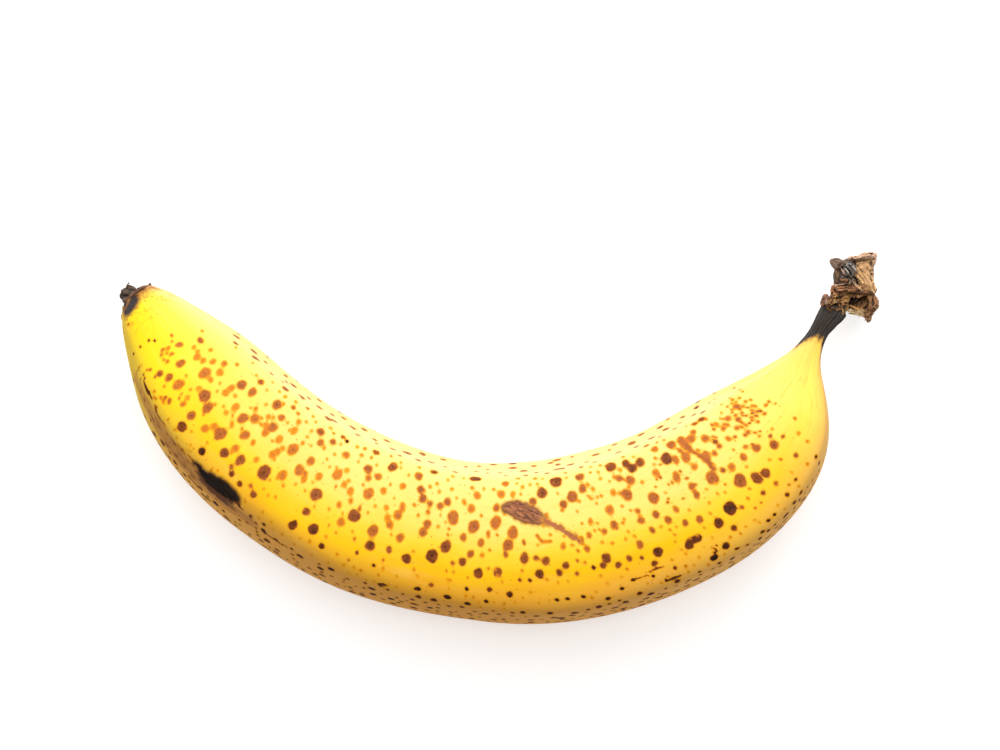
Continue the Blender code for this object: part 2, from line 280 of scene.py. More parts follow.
# Round marks placed on the upper side: x, y, radius, stretch across the
# fruit, and tone from 0 (young, orange) over 1.5 (brown) to 3 (black), millimetres.
PLACED_SPOTS = (
    # blossom end
    (-70.6, 23.0, 0.75, 0.8, 1.5), (-76.0, 22.1, 0.75, 1.5, 1.2), (-78.4, 21.1, 0.45, 1.4, 0.5),
    (-79.7, 20.9, 0.4, 1.3, 1.2), (-77.7, 19.8, 0.45, 1.4, 0.9), (-72.6, 21.5, 0.4, 1.2, 0.4),
    (-71.5, 20.4, 0.4, 1.3, 0.3), (-71.5, 19.2, 0.8, 1.2, 0.7), (-68.2, 20.9, 0.4, 1.2, 0.4),
    (-75.5, 17.9, 1.0, 1.35, 1.4), (-70.2, 17.9, 0.6, 1.3, 0.4), (-67.9, 18.0, 0.65, 1.3, 0.6),
    (-65.0, 17.3, 0.65, 1.1, 0.9), (-80.6, 15.3, 0.8, 1.15, 1.6), (-78.6, 14.3, 0.95, 1.25, 1.5),
    (-82.6, 16.0, 0.35, 1.2, 1.3), (-69.8, 15.1, 1.3, 1.3, 1.0), (-66.2, 15.4, 0.8, 1.15, 0.6),
    (-68.4, 13.6, 0.6, 1.05, 0.5), (-75.9, 12.5, 1.25, 1.3, 1.0), (-71.4, 11.6, 0.6, 1.2, 0.1),
    (-61.0, 12.6, 1.1, 1.1, 1.6), (-63.4, 11.8, 0.75, 1.2, 0.5), (-65.2, 10.6, 0.75, 1.15, 0.6),
    (-69.8, 9.6, 1.45, 1.15, 1.5), (-69.1, 6.8, 1.2, 1.25, 1.3), (-58.5, 10.7, 1.0, 1.5, 1.3),
    (-56.4, 13.0, 0.7, 1.0, 1.5), (-62.7, 7.0, 0.9, 1.4, 0.5), (-77.9, 8.8, 0.5, 1.0, 1.2),
    (-79.1, 9.2, 0.4, 1.4, 1.3), (-75.0, 8.1, 0.6, 1.3, 0.8), (-72.9, 5.3, 1.05, 1.25, 1.5),
    (-73.8, 9.4, 0.5, 1.3, 0.2), (-57.4, 6.7, 0.45, 1.3, 0.6), (-64.9, 5.7, 0.5, 1.0, 0.1),
    (-77.6, 24.5, 0.3, 0.8, 1.1), (-77.6, 23.0, 0.2, 1.0, 0.9), (-70.4, 25.4, 0.28, 0.8, 0.6),
    (-80.1, 19.5, 0.3, 1.3, 1.0), (-78.9, 19.8, 0.22, 1.3, 0.8), (-75.0, 22.0, 0.25, 1.0, 0.9),
    (-78.5, 18.0, 0.4, 1.2, 0.9), (-79.6, 18.4, 0.22, 1.2, 0.8), (-81.7, 14.4, 0.3, 1.2, 1.3),
    (-87.9, 27.0, 0.28, 1.0, 3.0), (-83.2, 22.9, 0.26, 1.0, 3.0), (-81.5, 22.9, 0.28, 0.8, 2.8),
    (-85.0, 21.6, 0.26, 1.0, 2.9), (-86.5, 19.7, 0.28, 1.2, 2.9), (-84.4, 15.0, 0.25, 1.2, 2.5),
    (-84.9, 13.6, 0.22, 1.2, 2.6), (-83.6, 16.2, 0.2, 1.2, 2.4), (-84.1, 14.2, 0.2, 1.2, 2.4),
    # hollow side of the blossom end
    (-62.1, 23.8, 0.95, 0.9, 1.7), (-62.3, 22.3, 0.75, 1.0, 1.8), (-58.1, 20.4, 1.0, 0.9, 1.7),
    (-57.6, 18.9, 0.9, 0.9, 1.8), (-48.5, 12.2, 0.9, 1.0, 1.7), (-46.7, 9.7, 0.9, 0.9, 1.7),
    (-42.6, 7.2, 0.9, 1.0, 1.7), (-39.2, 4.1, 0.8, 0.9, 1.8), (-36.9, 4.7, 0.7, 0.9, 1.5),
    (-34.6, 2.3, 0.8, 0.8, 1.6), (-32.0, 2.0, 0.8, 1.0, 1.5), (-26.4, -0.9, 0.7, 0.9, 1.5),
    (-25.2, -2.7, 0.7, 0.8, 1.7), (-15.9, -5.9, 0.8, 0.8, 1.9), (-13.0, -5.2, 0.7, 0.9, 1.6),
    (-1.3, -6.4, 0.75, 0.9, 1.7), (3.5, -7.2, 0.9, 0.8, 1.7), (17.0, -6.5, 0.8, 0.9, 1.8),
    (12.3, -6.1, 0.7, 0.9, 1.6), (23.0, -4.1, 0.8, 0.8, 1.7), (27.6, -1.6, 0.6, 0.8, 1.6),
    (33.7, 0.7, 0.8, 0.8, 1.7), (38.3, 2.4, 0.75, 0.9, 2.0),
    # lower left
    (-75.0, 2.7, 1.25, 1.1, 2.2), (-69.7, 2.4, 0.9, 1.0, 0.7), (-67.2, 2.5, 0.85, 1.2, 0.5),
    (-66.1, 0.7, 1.5, 1.25, 1.4), (-60.9, 4.7, 1.2, 1.2, 1.3), (-58.0, 4.6, 1.1, 1.2, 1.0),
    (-54.7, 4.8, 0.5, 1.0, 0.3), (-51.6, 4.5, 0.75, 1.0, 1.2), (-53.7, 2.6, 1.1, 1.1, 1.4),
    (-55.0, 3.0, 0.6, 1.0, 0.6), (-55.2, 1.0, 0.95, 1.4, 0.8), (-60.3, 0.2, 1.1, 1.2, 1.2),
    (-62.7, -2.5, 0.85, 1.1, 0.7), (-58.3, -1.6, 0.55, 1.4, 0.5), (-52.1, -0.3, 0.85, 1.3, 0.4),
    (-48.7, 1.5, 0.8, 1.3, 0.6), (-48.8, -2.7, 1.3, 1.4, 1.0), (-48.8, 7.0, 0.5, 1.0, 1.4),
    (-47.3, 3.9, 0.5, 1.1, 0.6), (-52.3, 7.7, 1.15, 1.1, 1.5), (-70.6, -3.2, 0.95, 1.1, 2.6),
    (-65.5, -3.7, 1.15, 1.1, 2.0), (-61.2, -5.6, 1.2, 1.3, 1.7), (-57.5, -5.2, 0.6, 1.3, 0.3),
    (-54.0, -4.2, 0.8, 1.05, 0.7), (-52.4, -3.4, 0.7, 1.2, 0.7), (-51.0, -2.6, 0.45, 1.2, 0.4),
    (-63.5, -6.8, 0.55, 1.0, 1.3), (-63.5, -8.6, 0.7, 1.1, 2.2), (-61.6, -10.8, 0.7, 1.0, 2.3),
    (-59.0, -11.4, 0.5, 1.0, 1.0), (-58.0, -13.6, 0.85, 1.05, 1.8), (-55.6, -8.0, 1.65, 1.2, 1.9),
    (-51.4, -9.0, 1.1, 1.15, 0.8), (-47.4, -7.8, 1.2, 1.1, 1.1), (-46.0, -8.3, 0.6, 1.0, 0.8),
    (-46.3, -10.0, 0.65, 1.6, 0.7), (-44.5, -5.7, 0.95, 1.3, 1.1), (-45.8, -17.5, 0.95, 1.0, 2.0),
    # left of the middle
    (-42.1, 1.2, 0.9, 1.0, 1.6), (-42.4, -1.5, 0.75, 1.1, 1.2), (-39.5, -1.1, 0.7, 1.0, 1.4),
    (-37.0, 0.3, 0.5, 1.2, 1.6), (-36.1, -1.0, 0.45, 1.3, 3.0), (-36.2, -4.4, 0.8, 1.0, 0.8),
    (-42.5, -9.2, 0.8, 1.3, 0.6), (-38.5, -8.9, 1.15, 1.35, 0.9), (-36.0, -7.8, 0.5, 1.0, 0.3),
    (-31.1, -7.8, 1.0, 1.05, 1.5), (-29.2, -3.4, 0.75, 0.9, 1.8), (-31.0, -9.9, 0.65, 1.1, 1.0),
    (-28.7, -9.5, 0.8, 1.0, 1.2), (-25.1, -7.0, 1.1, 1.4, 1.9), (-43.3, -13.4, 1.45, 1.1, 1.7),
    (-36.4, -11.3, 0.65, 1.3, 0.4), (-35.1, -12.9, 0.8, 1.3, 0.6), (-31.0, -13.4, 1.25, 1.3, 1.1),
    (-27.3, -12.6, 0.7, 1.2, 0.6), (-22.9, -11.4, 0.7, 1.1, 0.7), (-37.8, -15.9, 0.6, 1.2, 0.6),
    (-35.3, -15.3, 0.5, 1.2, 0.6), (-37.5, -20.0, 0.95, 1.15, 0.9), (-34.3, -18.8, 1.45, 1.05, 2.0),
    (-33.0, -17.2, 0.5, 2.0, 1.1), (-26.7, -16.7, 0.55, 1.1, 0.4), (-26.6, -19.0, 0.65, 1.3, 0.6),
    (-26.0, -20.5, 0.85, 1.2, 1.0), (-23.8, -18.3, 1.05, 1.2, 1.0), (-22.7, -16.4, 0.85, 1.5, 0.8),
    (-29.6, -22.1, 1.3, 1.2, 1.3), (-48.8, -20.6, 1.15, 1.15, 2.3), (-44.2, -21.7, 1.3, 1.05, 2.4),
    (-41.9, -25.8, 0.75, 0.9, 2.5), (-30.4, -25.9, 1.2, 1.0, 2.2), (-33.5, -27.1, 0.45, 1.2, 2.0),
    (-23.3, -24.1, 0.95, 1.15, 1.2), (-26.0, -26.4, 0.75, 1.25, 1.6), (-29.6, -30.3, 0.45, 1.0, 2.4),
    # middle
    (-19.0, -9.0, 0.95, 1.05, 1.5), (-15.5, -8.1, 0.75, 0.8, 2.0), (-5.7, -9.8, 1.15, 0.7, 2.3),
    (-18.2, -12.5, 0.9, 0.9, 1.5), (-17.9, -14.5, 0.95, 1.1, 1.6), (-16.3, -15.8, 0.65, 1.1, 1.4),
    (-17.0, -17.8, 0.5, 1.1, 0.8), (-12.0, -15.0, 0.85, 1.2, 1.5), (-13.7, -16.2, 0.75, 1.1, 1.4),
    (-8.4, -15.4, 0.5, 1.5, 0.6), (-5.0, -13.5, 0.8, 1.2, 0.8), (-6.2, -17.2, 0.9, 1.3, 0.9),
    (1.6, -10.9, 0.75, 1.0, 1.1), (0.8, -13.8, 0.9, 1.15, 1.0), (3.3, -13.3, 0.6, 1.2, 0.5),
    (-10.8, -19.1, 1.45, 1.3, 1.3), (-17.2, -20.7, 0.95, 1.2, 1.2), (-17.7, -22.6, 1.0, 1.15, 1.2),
    (-5.9, -21.4, 1.4, 1.35, 1.4), (-0.8, -20.0, 1.35, 1.3, 1.2), (-0.3, -16.5, 0.85, 1.3, 1.3),
    (-8.5, -23.5, 0.85, 1.3, 1.2), (-2.3, -23.4, 0.6, 1.7, 0.8), (-4.1, -25.2, 0.85, 1.3, 1.1),
    (-12.4, -26.0, 1.35, 1.2, 2.0), (-16.0, -28.2, 1.5, 1.05, 2.3), (-21.6, -28.6, 1.15, 0.95, 2.2),
    (-6.8, -27.6, 0.85, 1.3, 1.4), (-3.9, -27.8, 0.5, 1.0, 0.6), (-8.4, -29.9, 0.95, 1.15, 1.9),
    (-10.9, -29.6, 0.5, 1.0, 1.3), (1.9, -28.0, 0.65, 1.4, 1.3), (3.3, -22.7, 1.35, 1.3, 1.2),
    (2.1, -25.4, 1.25, 1.1, 1.5), (5.8, -25.2, 0.5, 1.8, 1.1), (5.9, -28.7, 1.15, 1.25, 1.8),
    (8.8, -29.0, 0.65, 0.9, 1.6), (-5.0, -32.5, 1.15, 1.1, 2.2), (-0.3, -31.8, 1.05, 1.15, 1.9),
    (-15.7, -34.8, 0.6, 0.8, 1.8), (-7.4, -35.7, 0.5, 1.0, 2.7), (-2.2, -36.0, 0.65, 1.1, 2.3),
    (2.8, -37.3, 0.8, 0.9, 2.5), (-12.1, -38.1, 0.8, 0.7, 2.8), (-7.2, -39.4, 0.7, 0.8, 2.6),
    (-3.2, -38.9, 0.55, 0.9, 2.6), (-19.4, -36.1, 0.75, 0.7, 2.8), (7.3, -33.8, 0.5, 1.0, 2.4),
    (9.6, -32.8, 1.1, 1.2, 2.3), (11.5, -29.3, 1.0, 1.25, 1.8), (5.2, -34.2, 0.45, 1.0, 1.8),
    (8.3, -15.4, 0.9, 1.2, 1.6), (10.4, -13.2, 1.25, 1.05, 2.0),
    # right of the middle
    (13.8, -10.6, 1.4, 1.0, 2.1), (19.3, -9.2, 1.0, 0.85, 1.6), (19.9, -12.1, 0.95, 1.25, 1.5),
    (17.6, -14.2, 1.25, 1.15, 1.6), (15.4, -15.7, 0.9, 1.1, 1.6), (26.5, -7.1, 1.3, 1.0, 2.0),
    (30.2, -6.3, 1.0, 1.3, 2.2), (31.5, -7.3, 1.15, 1.0, 2.3), (33.7, -5.7, 1.1, 1.1, 1.9),
    (28.8, -9.8, 0.75, 1.0, 1.4), (31.3, -10.0, 1.05, 1.2, 1.4), (39.7, -5.2, 1.35, 1.1, 2.2),
    (37.3, -2.9, 0.8, 1.0, 1.2), (35.2, -2.0, 0.6, 0.9, 1.2), (41.1, -1.8, 1.05, 1.0, 1.5),
    (37.5, -8.6, 0.85, 1.2, 0.8), (42.1, -9.6, 1.05, 1.6, 1.1), (30.3, -13.4, 1.3, 1.3, 1.4),
    (27.1, -13.2, 0.65, 1.3, 0.5), (36.7, -14.2, 1.3, 1.15, 1.4), (26.5, -17.2, 1.05, 1.3, 0.9),
    (33.3, -17.5, 0.6, 1.2, 1.1), (37.1, -18.2, 0.85, 1.2, 1.4), (27.6, -21.3, 1.0, 1.25, 1.3),
    (33.8, -19.8, 0.85, 1.05, 1.3), (25.0, -22.7, 0.65, 1.3, 1.1), (21.4, -23.1, 0.65, 1.3, 1.0),
    (21.8, -19.7, 0.6, 1.6, 0.6), (15.1, -25.9, 0.65, 1.3, 0.8), (11.4, -18.7, 0.55, 1.6, 0.9),
    (19.6, -24.8, 0.85, 1.2, 1.2), (21.0, -26.5, 0.7, 1.2, 1.1), (25.6, -28.7, 1.15, 1.15, 2.1),
    (24.8, -30.2, 0.75, 1.1, 2.0), (28.3, -30.2, 0.8, 1.1, 2.0), (31.1, -28.7, 0.75, 1.1, 1.8),
    (33.8, -28.7, 0.5, 1.1, 1.9), (33.6, -25.3, 0.9, 1.2, 1.5), (36.8, -22.1, 0.7, 1.5, 1.4),
    (40.3, -19.8, 0.85, 1.15, 1.4), (44.2, -20.4, 0.75, 1.15, 1.4), (42.2, -16.8, 0.7, 1.6, 1.1),
    (48.0, -19.6, 0.85, 1.05, 1.5), (37.8, -27.2, 1.2, 1.05, 2.4), (37.1, -29.6, 0.75, 0.8, 2.3),
    (42.1, -31.1, 0.5, 1.0, 2.4), (36.6, -33.2, 0.4, 1.0, 2.6), (16.2, -30.7, 0.85, 1.0, 2.0),
    (14.3, -32.4, 0.8, 1.1, 2.0), (18.4, -32.4, 0.5, 1.1, 1.8), (22.7, -30.9, 0.5, 1.2, 2.4),
    (31.9, -34.1, 0.5, 0.7, 2.6), (29.2, -36.0, 0.5, 0.8, 2.6), (20.4, -37.6, 0.55, 0.8, 2.6),
    (26.2, -38.1, 0.6, 0.8, 2.7), (13.8, -38.5, 0.5, 0.8, 2.6), (16.6, -38.3, 0.5, 0.7, 2.6),
    # stem end
    (48.4, 4.4, 0.85, 0.8, 1.9), (46.5, 3.2, 0.7, 0.8, 1.5), (46.0, 1.3, 0.65, 0.9, 1.2),
    (45.8, -0.2, 1.05, 1.0, 1.3), (49.1, -0.3, 0.95, 1.1, 1.2), (56.6, 7.4, 0.75, 0.9, 1.4),
    (54.8, 4.4, 0.65, 1.0, 1.0), (57.1, 4.0, 0.6, 0.9, 1.4), (51.6, 3.1, 0.5, 1.2, 0.6),
    (53.3, 2.0, 0.55, 0.9, 1.1), (56.6, 2.3, 0.5, 1.0, 1.3), (59.1, 1.3, 0.55, 1.0, 1.1),
    (51.4, -0.8, 0.65, 1.2, 2.0), (52.4, -1.7, 0.6, 1.0, 1.2), (54.5, -0.3, 0.6, 1.4, 1.0),
    (51.6, -3.7, 0.6, 1.2, 1.0), (49.3, -4.4, 1.0, 1.2, 1.2), (44.4, -4.8, 1.1, 1.3, 1.2),
    (42.2, -5.3, 0.85, 1.9, 1.2), (61.5, -2.5, 0.95, 0.9, 1.4), (65.7, -1.9, 1.1, 1.1, 1.7),
    (58.5, -4.8, 0.85, 1.3, 1.2), (55.5, -6.8, 0.9, 1.15, 1.0), (53.4, -8.2, 0.6, 1.1, 1.6),
    (46.7, -7.0, 0.75, 1.0, 0.8), (58.7, -2.0, 0.5, 1.0, 1.0), (64.4, 0.2, 0.45, 0.8, 1.4),
    (67.4, 0.2, 0.45, 0.8, 1.3), (50.7, -9.8, 1.5, 1.15, 1.4), (57.3, -10.1, 1.55, 1.1, 1.7),
    (61.1, -9.7, 1.35, 1.35, 2.0), (63.9, -8.5, 1.15, 1.05, 2.0), (66.2, -10.8, 0.6, 1.1, 1.4),
    (62.7, -13.0, 0.6, 1.0, 1.9), (46.0, -11.4, 0.8, 1.3, 1.3), (47.3, -13.9, 0.85, 1.4, 1.5),
    (46.7, -12.6, 0.4, 1.6, 1.3), (70.6, -4.4, 0.6, 0.9, 1.8), (75.4, -4.4, 0.45, 0.8, 2.4),
    (71.5, 1.0, 0.4, 0.8, 0.5), (70.8, -9.8, 0.4, 0.8, 2.0), (68.7, -13.5, 0.6, 1.0, 2.2),
    (55.0, -17.2, 1.6, 1.2, 2.5), (52.1, -20.2, 1.2, 1.05, 2.4), (55.7, -21.3, 0.75, 1.0, 2.1),
    (57.6, -16.4, 0.5, 1.1, 1.1), (65.5, -18.4, 0.45, 1.0, 2.6), (64.0, -19.8, 0.5, 0.9, 2.6),
    (54.0, -25.8, 0.95, 0.9, 2.7), (51.1, -28.6, 0.9, 0.8, 2.9), (71.9, -13.0, 0.6, 0.8, 2.3),
    (62.8, -22.2, 0.55, 0.7, 2.5), (56.6, -26.5, 0.5, 0.7, 2.4),
    # outer side by the bruise
    (-58.9, -18.9, 0.6, 1.4, 2.5), (-61.4, -19.7, 0.5, 1.2, 2.6), (-59.5, -20.4, 0.55, 1.2, 2.7),
    (-55.5, -20.8, 0.55, 1.1, 2.7), (-61.3, -20.8, 0.45, 1.2, 2.6), (-57.3, -21.6, 0.4, 1.2, 2.7),
    (-61.7, -18.4, 0.22, 1.0, 2.3), (-76.2, -7.3, 0.5, 1.2, 2.9),
)

# Drawn marks: tone, then points of (x, y, half width).
PLACED_STROKES = (
    (2.5, ((47.6, -24.2, 0.95), (46.0, -24.7, 0.9), (44.9, -26.0, 0.85))),
    (1.0, ((9.2, -23.6, 0.4), (10.4, -24.9, 0.35), (12.6, -24.9, 0.3))),
    (2.6, ((31.9, -34.1, 0.22), (34.2, -33.0, 0.16), (39.4, -30.5, 0.14))),
    (2.7, ((51.4, -28.0, 0.3), (51.7, -25.8, 0.22))),
    (2.7, ((39.5, -34.0, 0.25), (41.5, -33.4, 0.45), (43.2, -32.9, 0.3))),
    (2.8, ((13.3, -42.7, 0.3), (15.0, -43.0, 0.5), (16.8, -43.3, 0.3))),
    (2.8, ((-28.8, -34.8, 0.3), (-27.8, -35.0, 0.8), (-26.6, -35.2, 0.3))),
    (2.9, ((-61.9, -15.4, 0.2), (-61.4, -16.3, 0.34), (-60.9, -17.0, 0.2))),
    (2.8, ((-73.1, -9.8, 0.25), (-72.3, -10.7, 0.48), (-71.4, -11.7, 0.3))),
    (2.8, ((-70.1, -13.7, 0.35), (-69.2, -14.4, 0.58), (-68.3, -15.1, 0.35))),
    (2.7, ((-65.1, -18.9, 0.35), (-63.5, -20.1, 0.4))),
    (2.3, ((-66.9, -15.9, 0.12), (-65.1, -16.7, 0.16), (-63.8, -17.5, 0.12))),
    (2.6, ((-76.4, -1.4, 0.14), (-75.3, -2.6, 0.2), (-74.3, -3.7, 0.14))),
    (2.5, ((-73.9, -3.9, 0.16), (-73.1, -4.9, 0.22), (-72.5, -5.9, 0.2))),
    (1.9, ((-74.9, -2.9, 0.10), (-73.6, -3.2, 0.12), (-72.4, -2.9, 0.08))),
    (2.9, ((-89.3, 26.9, 0.2), (-89.2, 25.8, 0.34), (-88.9, 24.8, 0.2))),
    (2.6, ((-87.2, 16.9, 0.15), (-87.0, 16.0, 0.2))),
    (1.7, ((-82.6, 35.6, 0.35), (-81.2, 35.3, 0.22), (-79.8, 34.9, 0.12))),
    (1.5, ((-79.2, 34.8, 0.12), (-78.2, 34.4, 0.20), (-76.8, 33.9, 0.10))),
    (2.4, ((-55.6, -22.7, 0.25), (-52.9, -24.4, 0.35), (-50.4, -26.0, 0.25))),
    (2.7, ((-62.5, -15.3, 0.35), (-61.7, -16.2, 0.32), (-61.0, -17.0, 0.25))),
    (2.8, ((-89.5, 30.8, 0.2), (-89.8, 29.4, 0.5), (-89.6, 28.2, 0.3))),
    (3.0, ((-84.9, 17.3, 0.18), (-85.3, 16.5, 0.28), (-85.9, 15.1, 0.24))),
    (2.8, ((-84.2, 13.3, 0.25), (-83.4, 11.2, 0.6), (-82.4, 9.2, 0.2))),
    (2.6, ((-81.6, 7.6, 0.25), (-81.0, 5.2, 0.3), (-79.6, 3.4, 0.2))),
    (1.4, ((43.4, -0.6, 0.9), (44.2, -1.9, 0.9), (46.0, -3.3, 0.5), (48.0, -4.4, 0.4))),
    (1.6, ((48.0, -4.4, 0.5), (50.1, -5.8, 0.7), (51.1, -7.4, 0.6))),
    (1.2, ((42.6, -2.6, 0.35), (43.8, -3.8, 0.4), (45.2, -5.4, 0.3))),
    (1.2, ((56.9, 4.2, 0.3), (58.8, 3.0, 0.25))),
)
BRUISE_STROKE = (
    (-72.5, -5.9, 0.20), (-71.7, -6.5, 0.40), (-70.5, -8.0, 0.75), (-69.4, -9.2, 1.15),
    (-68.0, -10.3, 1.55), (-65.6, -11.8, 1.80), (-63.6, -13.4, 1.60), (-62.3, -14.5, 0.90),
)
BRUISE_FLANK = (
    (-70.6, -8.7, 0.45), (-69.2, -10.5, 0.80), (-67.4, -12.0, 1.05), (-65.4, -13.4, 1.10),
    (-63.6, -14.4, 0.80),
)
BRUISE_STAIN = (
    (-71.0, -9.0, 0.6), (-69.7, -10.7, 1.1), (-67.9, -12.6, 1.3), (-65.9, -14.1, 1.3),
    (-63.7, -15.2, 0.9),
)
SCAR_STROKE = (
    (2.0, -16.5, 1.2), (4.8, -17.2, 1.9), (7.4, -18.2, 2.0), (10.0, -19.4, 0.9),
    (11.6, -20.0, 0.6),
)
SCAR_TAIL = ((11.0, -19.7, 0.35), (13.8, -21.2, 0.50), (16.8, -23.0, 0.45), (19.2, -24.6, 0.50))
SCAR_HEADING = 24.0
CHAR_STROKE = (
    (-84.3, 35.2, 0.25), (-85.7, 34.2, 0.6), (-86.8, 32.6, 1.5), (-87.3, 31.3, 1.9),
    (-87.9, 30.4, 1.6), (-88.4, 29.2, 0.8), (-88.9, 30.6, 0.9), (-88.7, 32.2, 0.9),
)
SCAB_STROKE = ((-89.6, 30.6, 0.3), (-89.9, 29.4, 0.6), (-89.7, 28.3, 0.3))
SCUFF_STROKE = (
    (-86.2, 14.0, 0.6), (-83.6, 8.0, 1.6), (-80.6, 2.4, 2.6), (-76.6, -3.6, 2.8),
    (-71.4, -9.6, 3.0), (-65.0, -15.6, 2.0), (-59.0, -20.0, 0.8),
)
# Drawn features of the peel: the strokes that make each one, and how far its edge reaches.
FEATURES = {
    "bruise": ((BRUISE_STROKE, BRUISE_FLANK), 3.0),
    "stain": ((BRUISE_STAIN,), 3.0),
    "scar": ((SCAR_STROKE,), 3.0),
    "tail": ((SCAR_TAIL,), 2.0),
    "scuff": ((SCUFF_STROKE,), 3.0),
    "char": ((CHAR_STROKE,), 2.5),
    "scab": ((SCAB_STROKE,), 2.0),
}
# The features that the peel material paints by their depth.
PAINTED_FEATURES = ("bruise", "stain", "scar", "tail", "scuff", "char")
FEATURE_FLOOR = -3.0

# The marks are laid out on a level sheet and carried to the skin along lines from this eye.
LAYOUT_EYE = (0.36, 14.84, 710.7)
LAYOUT_LEVEL = 18.0
UPPER_FACING = 0.05

SPOT_SEED = 41
# How far outside a mark its depth is still worked out.
OWN_REACH = 1.3
UNMARKED_DEPTH = -2.0
UNMARKED_OFFSET = (3.0, 0.0, 1.0)
OUTSIDE_STROKE = -9.0
STROKE_STEP = 0.35
SPOT_LEAN = 0.35
# Waves in a spot's outline: how many round it, and their height against its radius.
SPOT_WAVES = ((2, 0.04), (3, 0.045), (4, 0.03), (5, 0.02))
# Placed spots below this radius are drawn a little wider and darker, up to these amounts.
SMALL_SPOT = 0.95
SMALL_SPOT_SPAN = 0.6
SMALL_SPOT_GAIN = 0.05
SMALL_SPOT_DARKER = 0.30
SPOT_DARKER = 0.06

# Clusters of tiny freckles: middle x and y, spread in x and y, count, lowest and highest tone.
CLUSTERS = (
    (57.5, 6.0, 4.6, 2.9, 78, 1.0, 1.9),
    (41.5, -10.5, 2.4, 2.4, 18, 1.0, 1.8),
    (25.0, -13.5, 6.0, 4.0, 34, 0.5, 1.0),
    (-78.4, 9.6, 1.9, 1.5, 12, 0.7, 1.2),
    (-57.0, 4.0, 7.0, 5.0, 20, 0.5, 1.0),
)
FRECKLE_RADII = (0.22, 0.44)
FRECKLE_STRETCHES = (0.8, 1.4)
# A freckle is left out where the skin is already this near to a mark.
FRECKLE_CLEARANCE = -0.25

# Sides of the fruit by turn round the section, in degrees, for the seeded spots.
MAIN_SIDE = (38, 134)
HOLLOW_START = -32
OUTER_END = -150
# Seeded spots by side: smallest radius, extra radius, rarity of large ones, room kept free.
SEEDED_SPOTS = {
    "main": (0.26, 0.16, 1.6, 0.85),
    "hollow": (0.42, 0.75, 1.4, 2.1),
    "outer": (0.44, 0.64, 1.5, 0.75),
    "under": (0.32, 1.15, 2.2, 0.35),
}
# Lowest and highest tone of the seeded spots on the sides where size doesn't set it.
SEEDED_TONES = {"outer": (2.3, 2.9), "hollow": (1.6, 2.15)}
SEEDED_TRIES = 6500
SEEDED_MOST = 1500
SEEDED_STRETCHES = (0.9, 1.45)
# Where the seeded spots fade in at the tip and out at the neck: start and length.
SEEDED_FADE_IN = (16, 16)
SEEDED_FADE_OUT = (187, 14)
OUTER_CROWDING = 1.7
CLASH_REFUSED = 0.96
CELL = 4


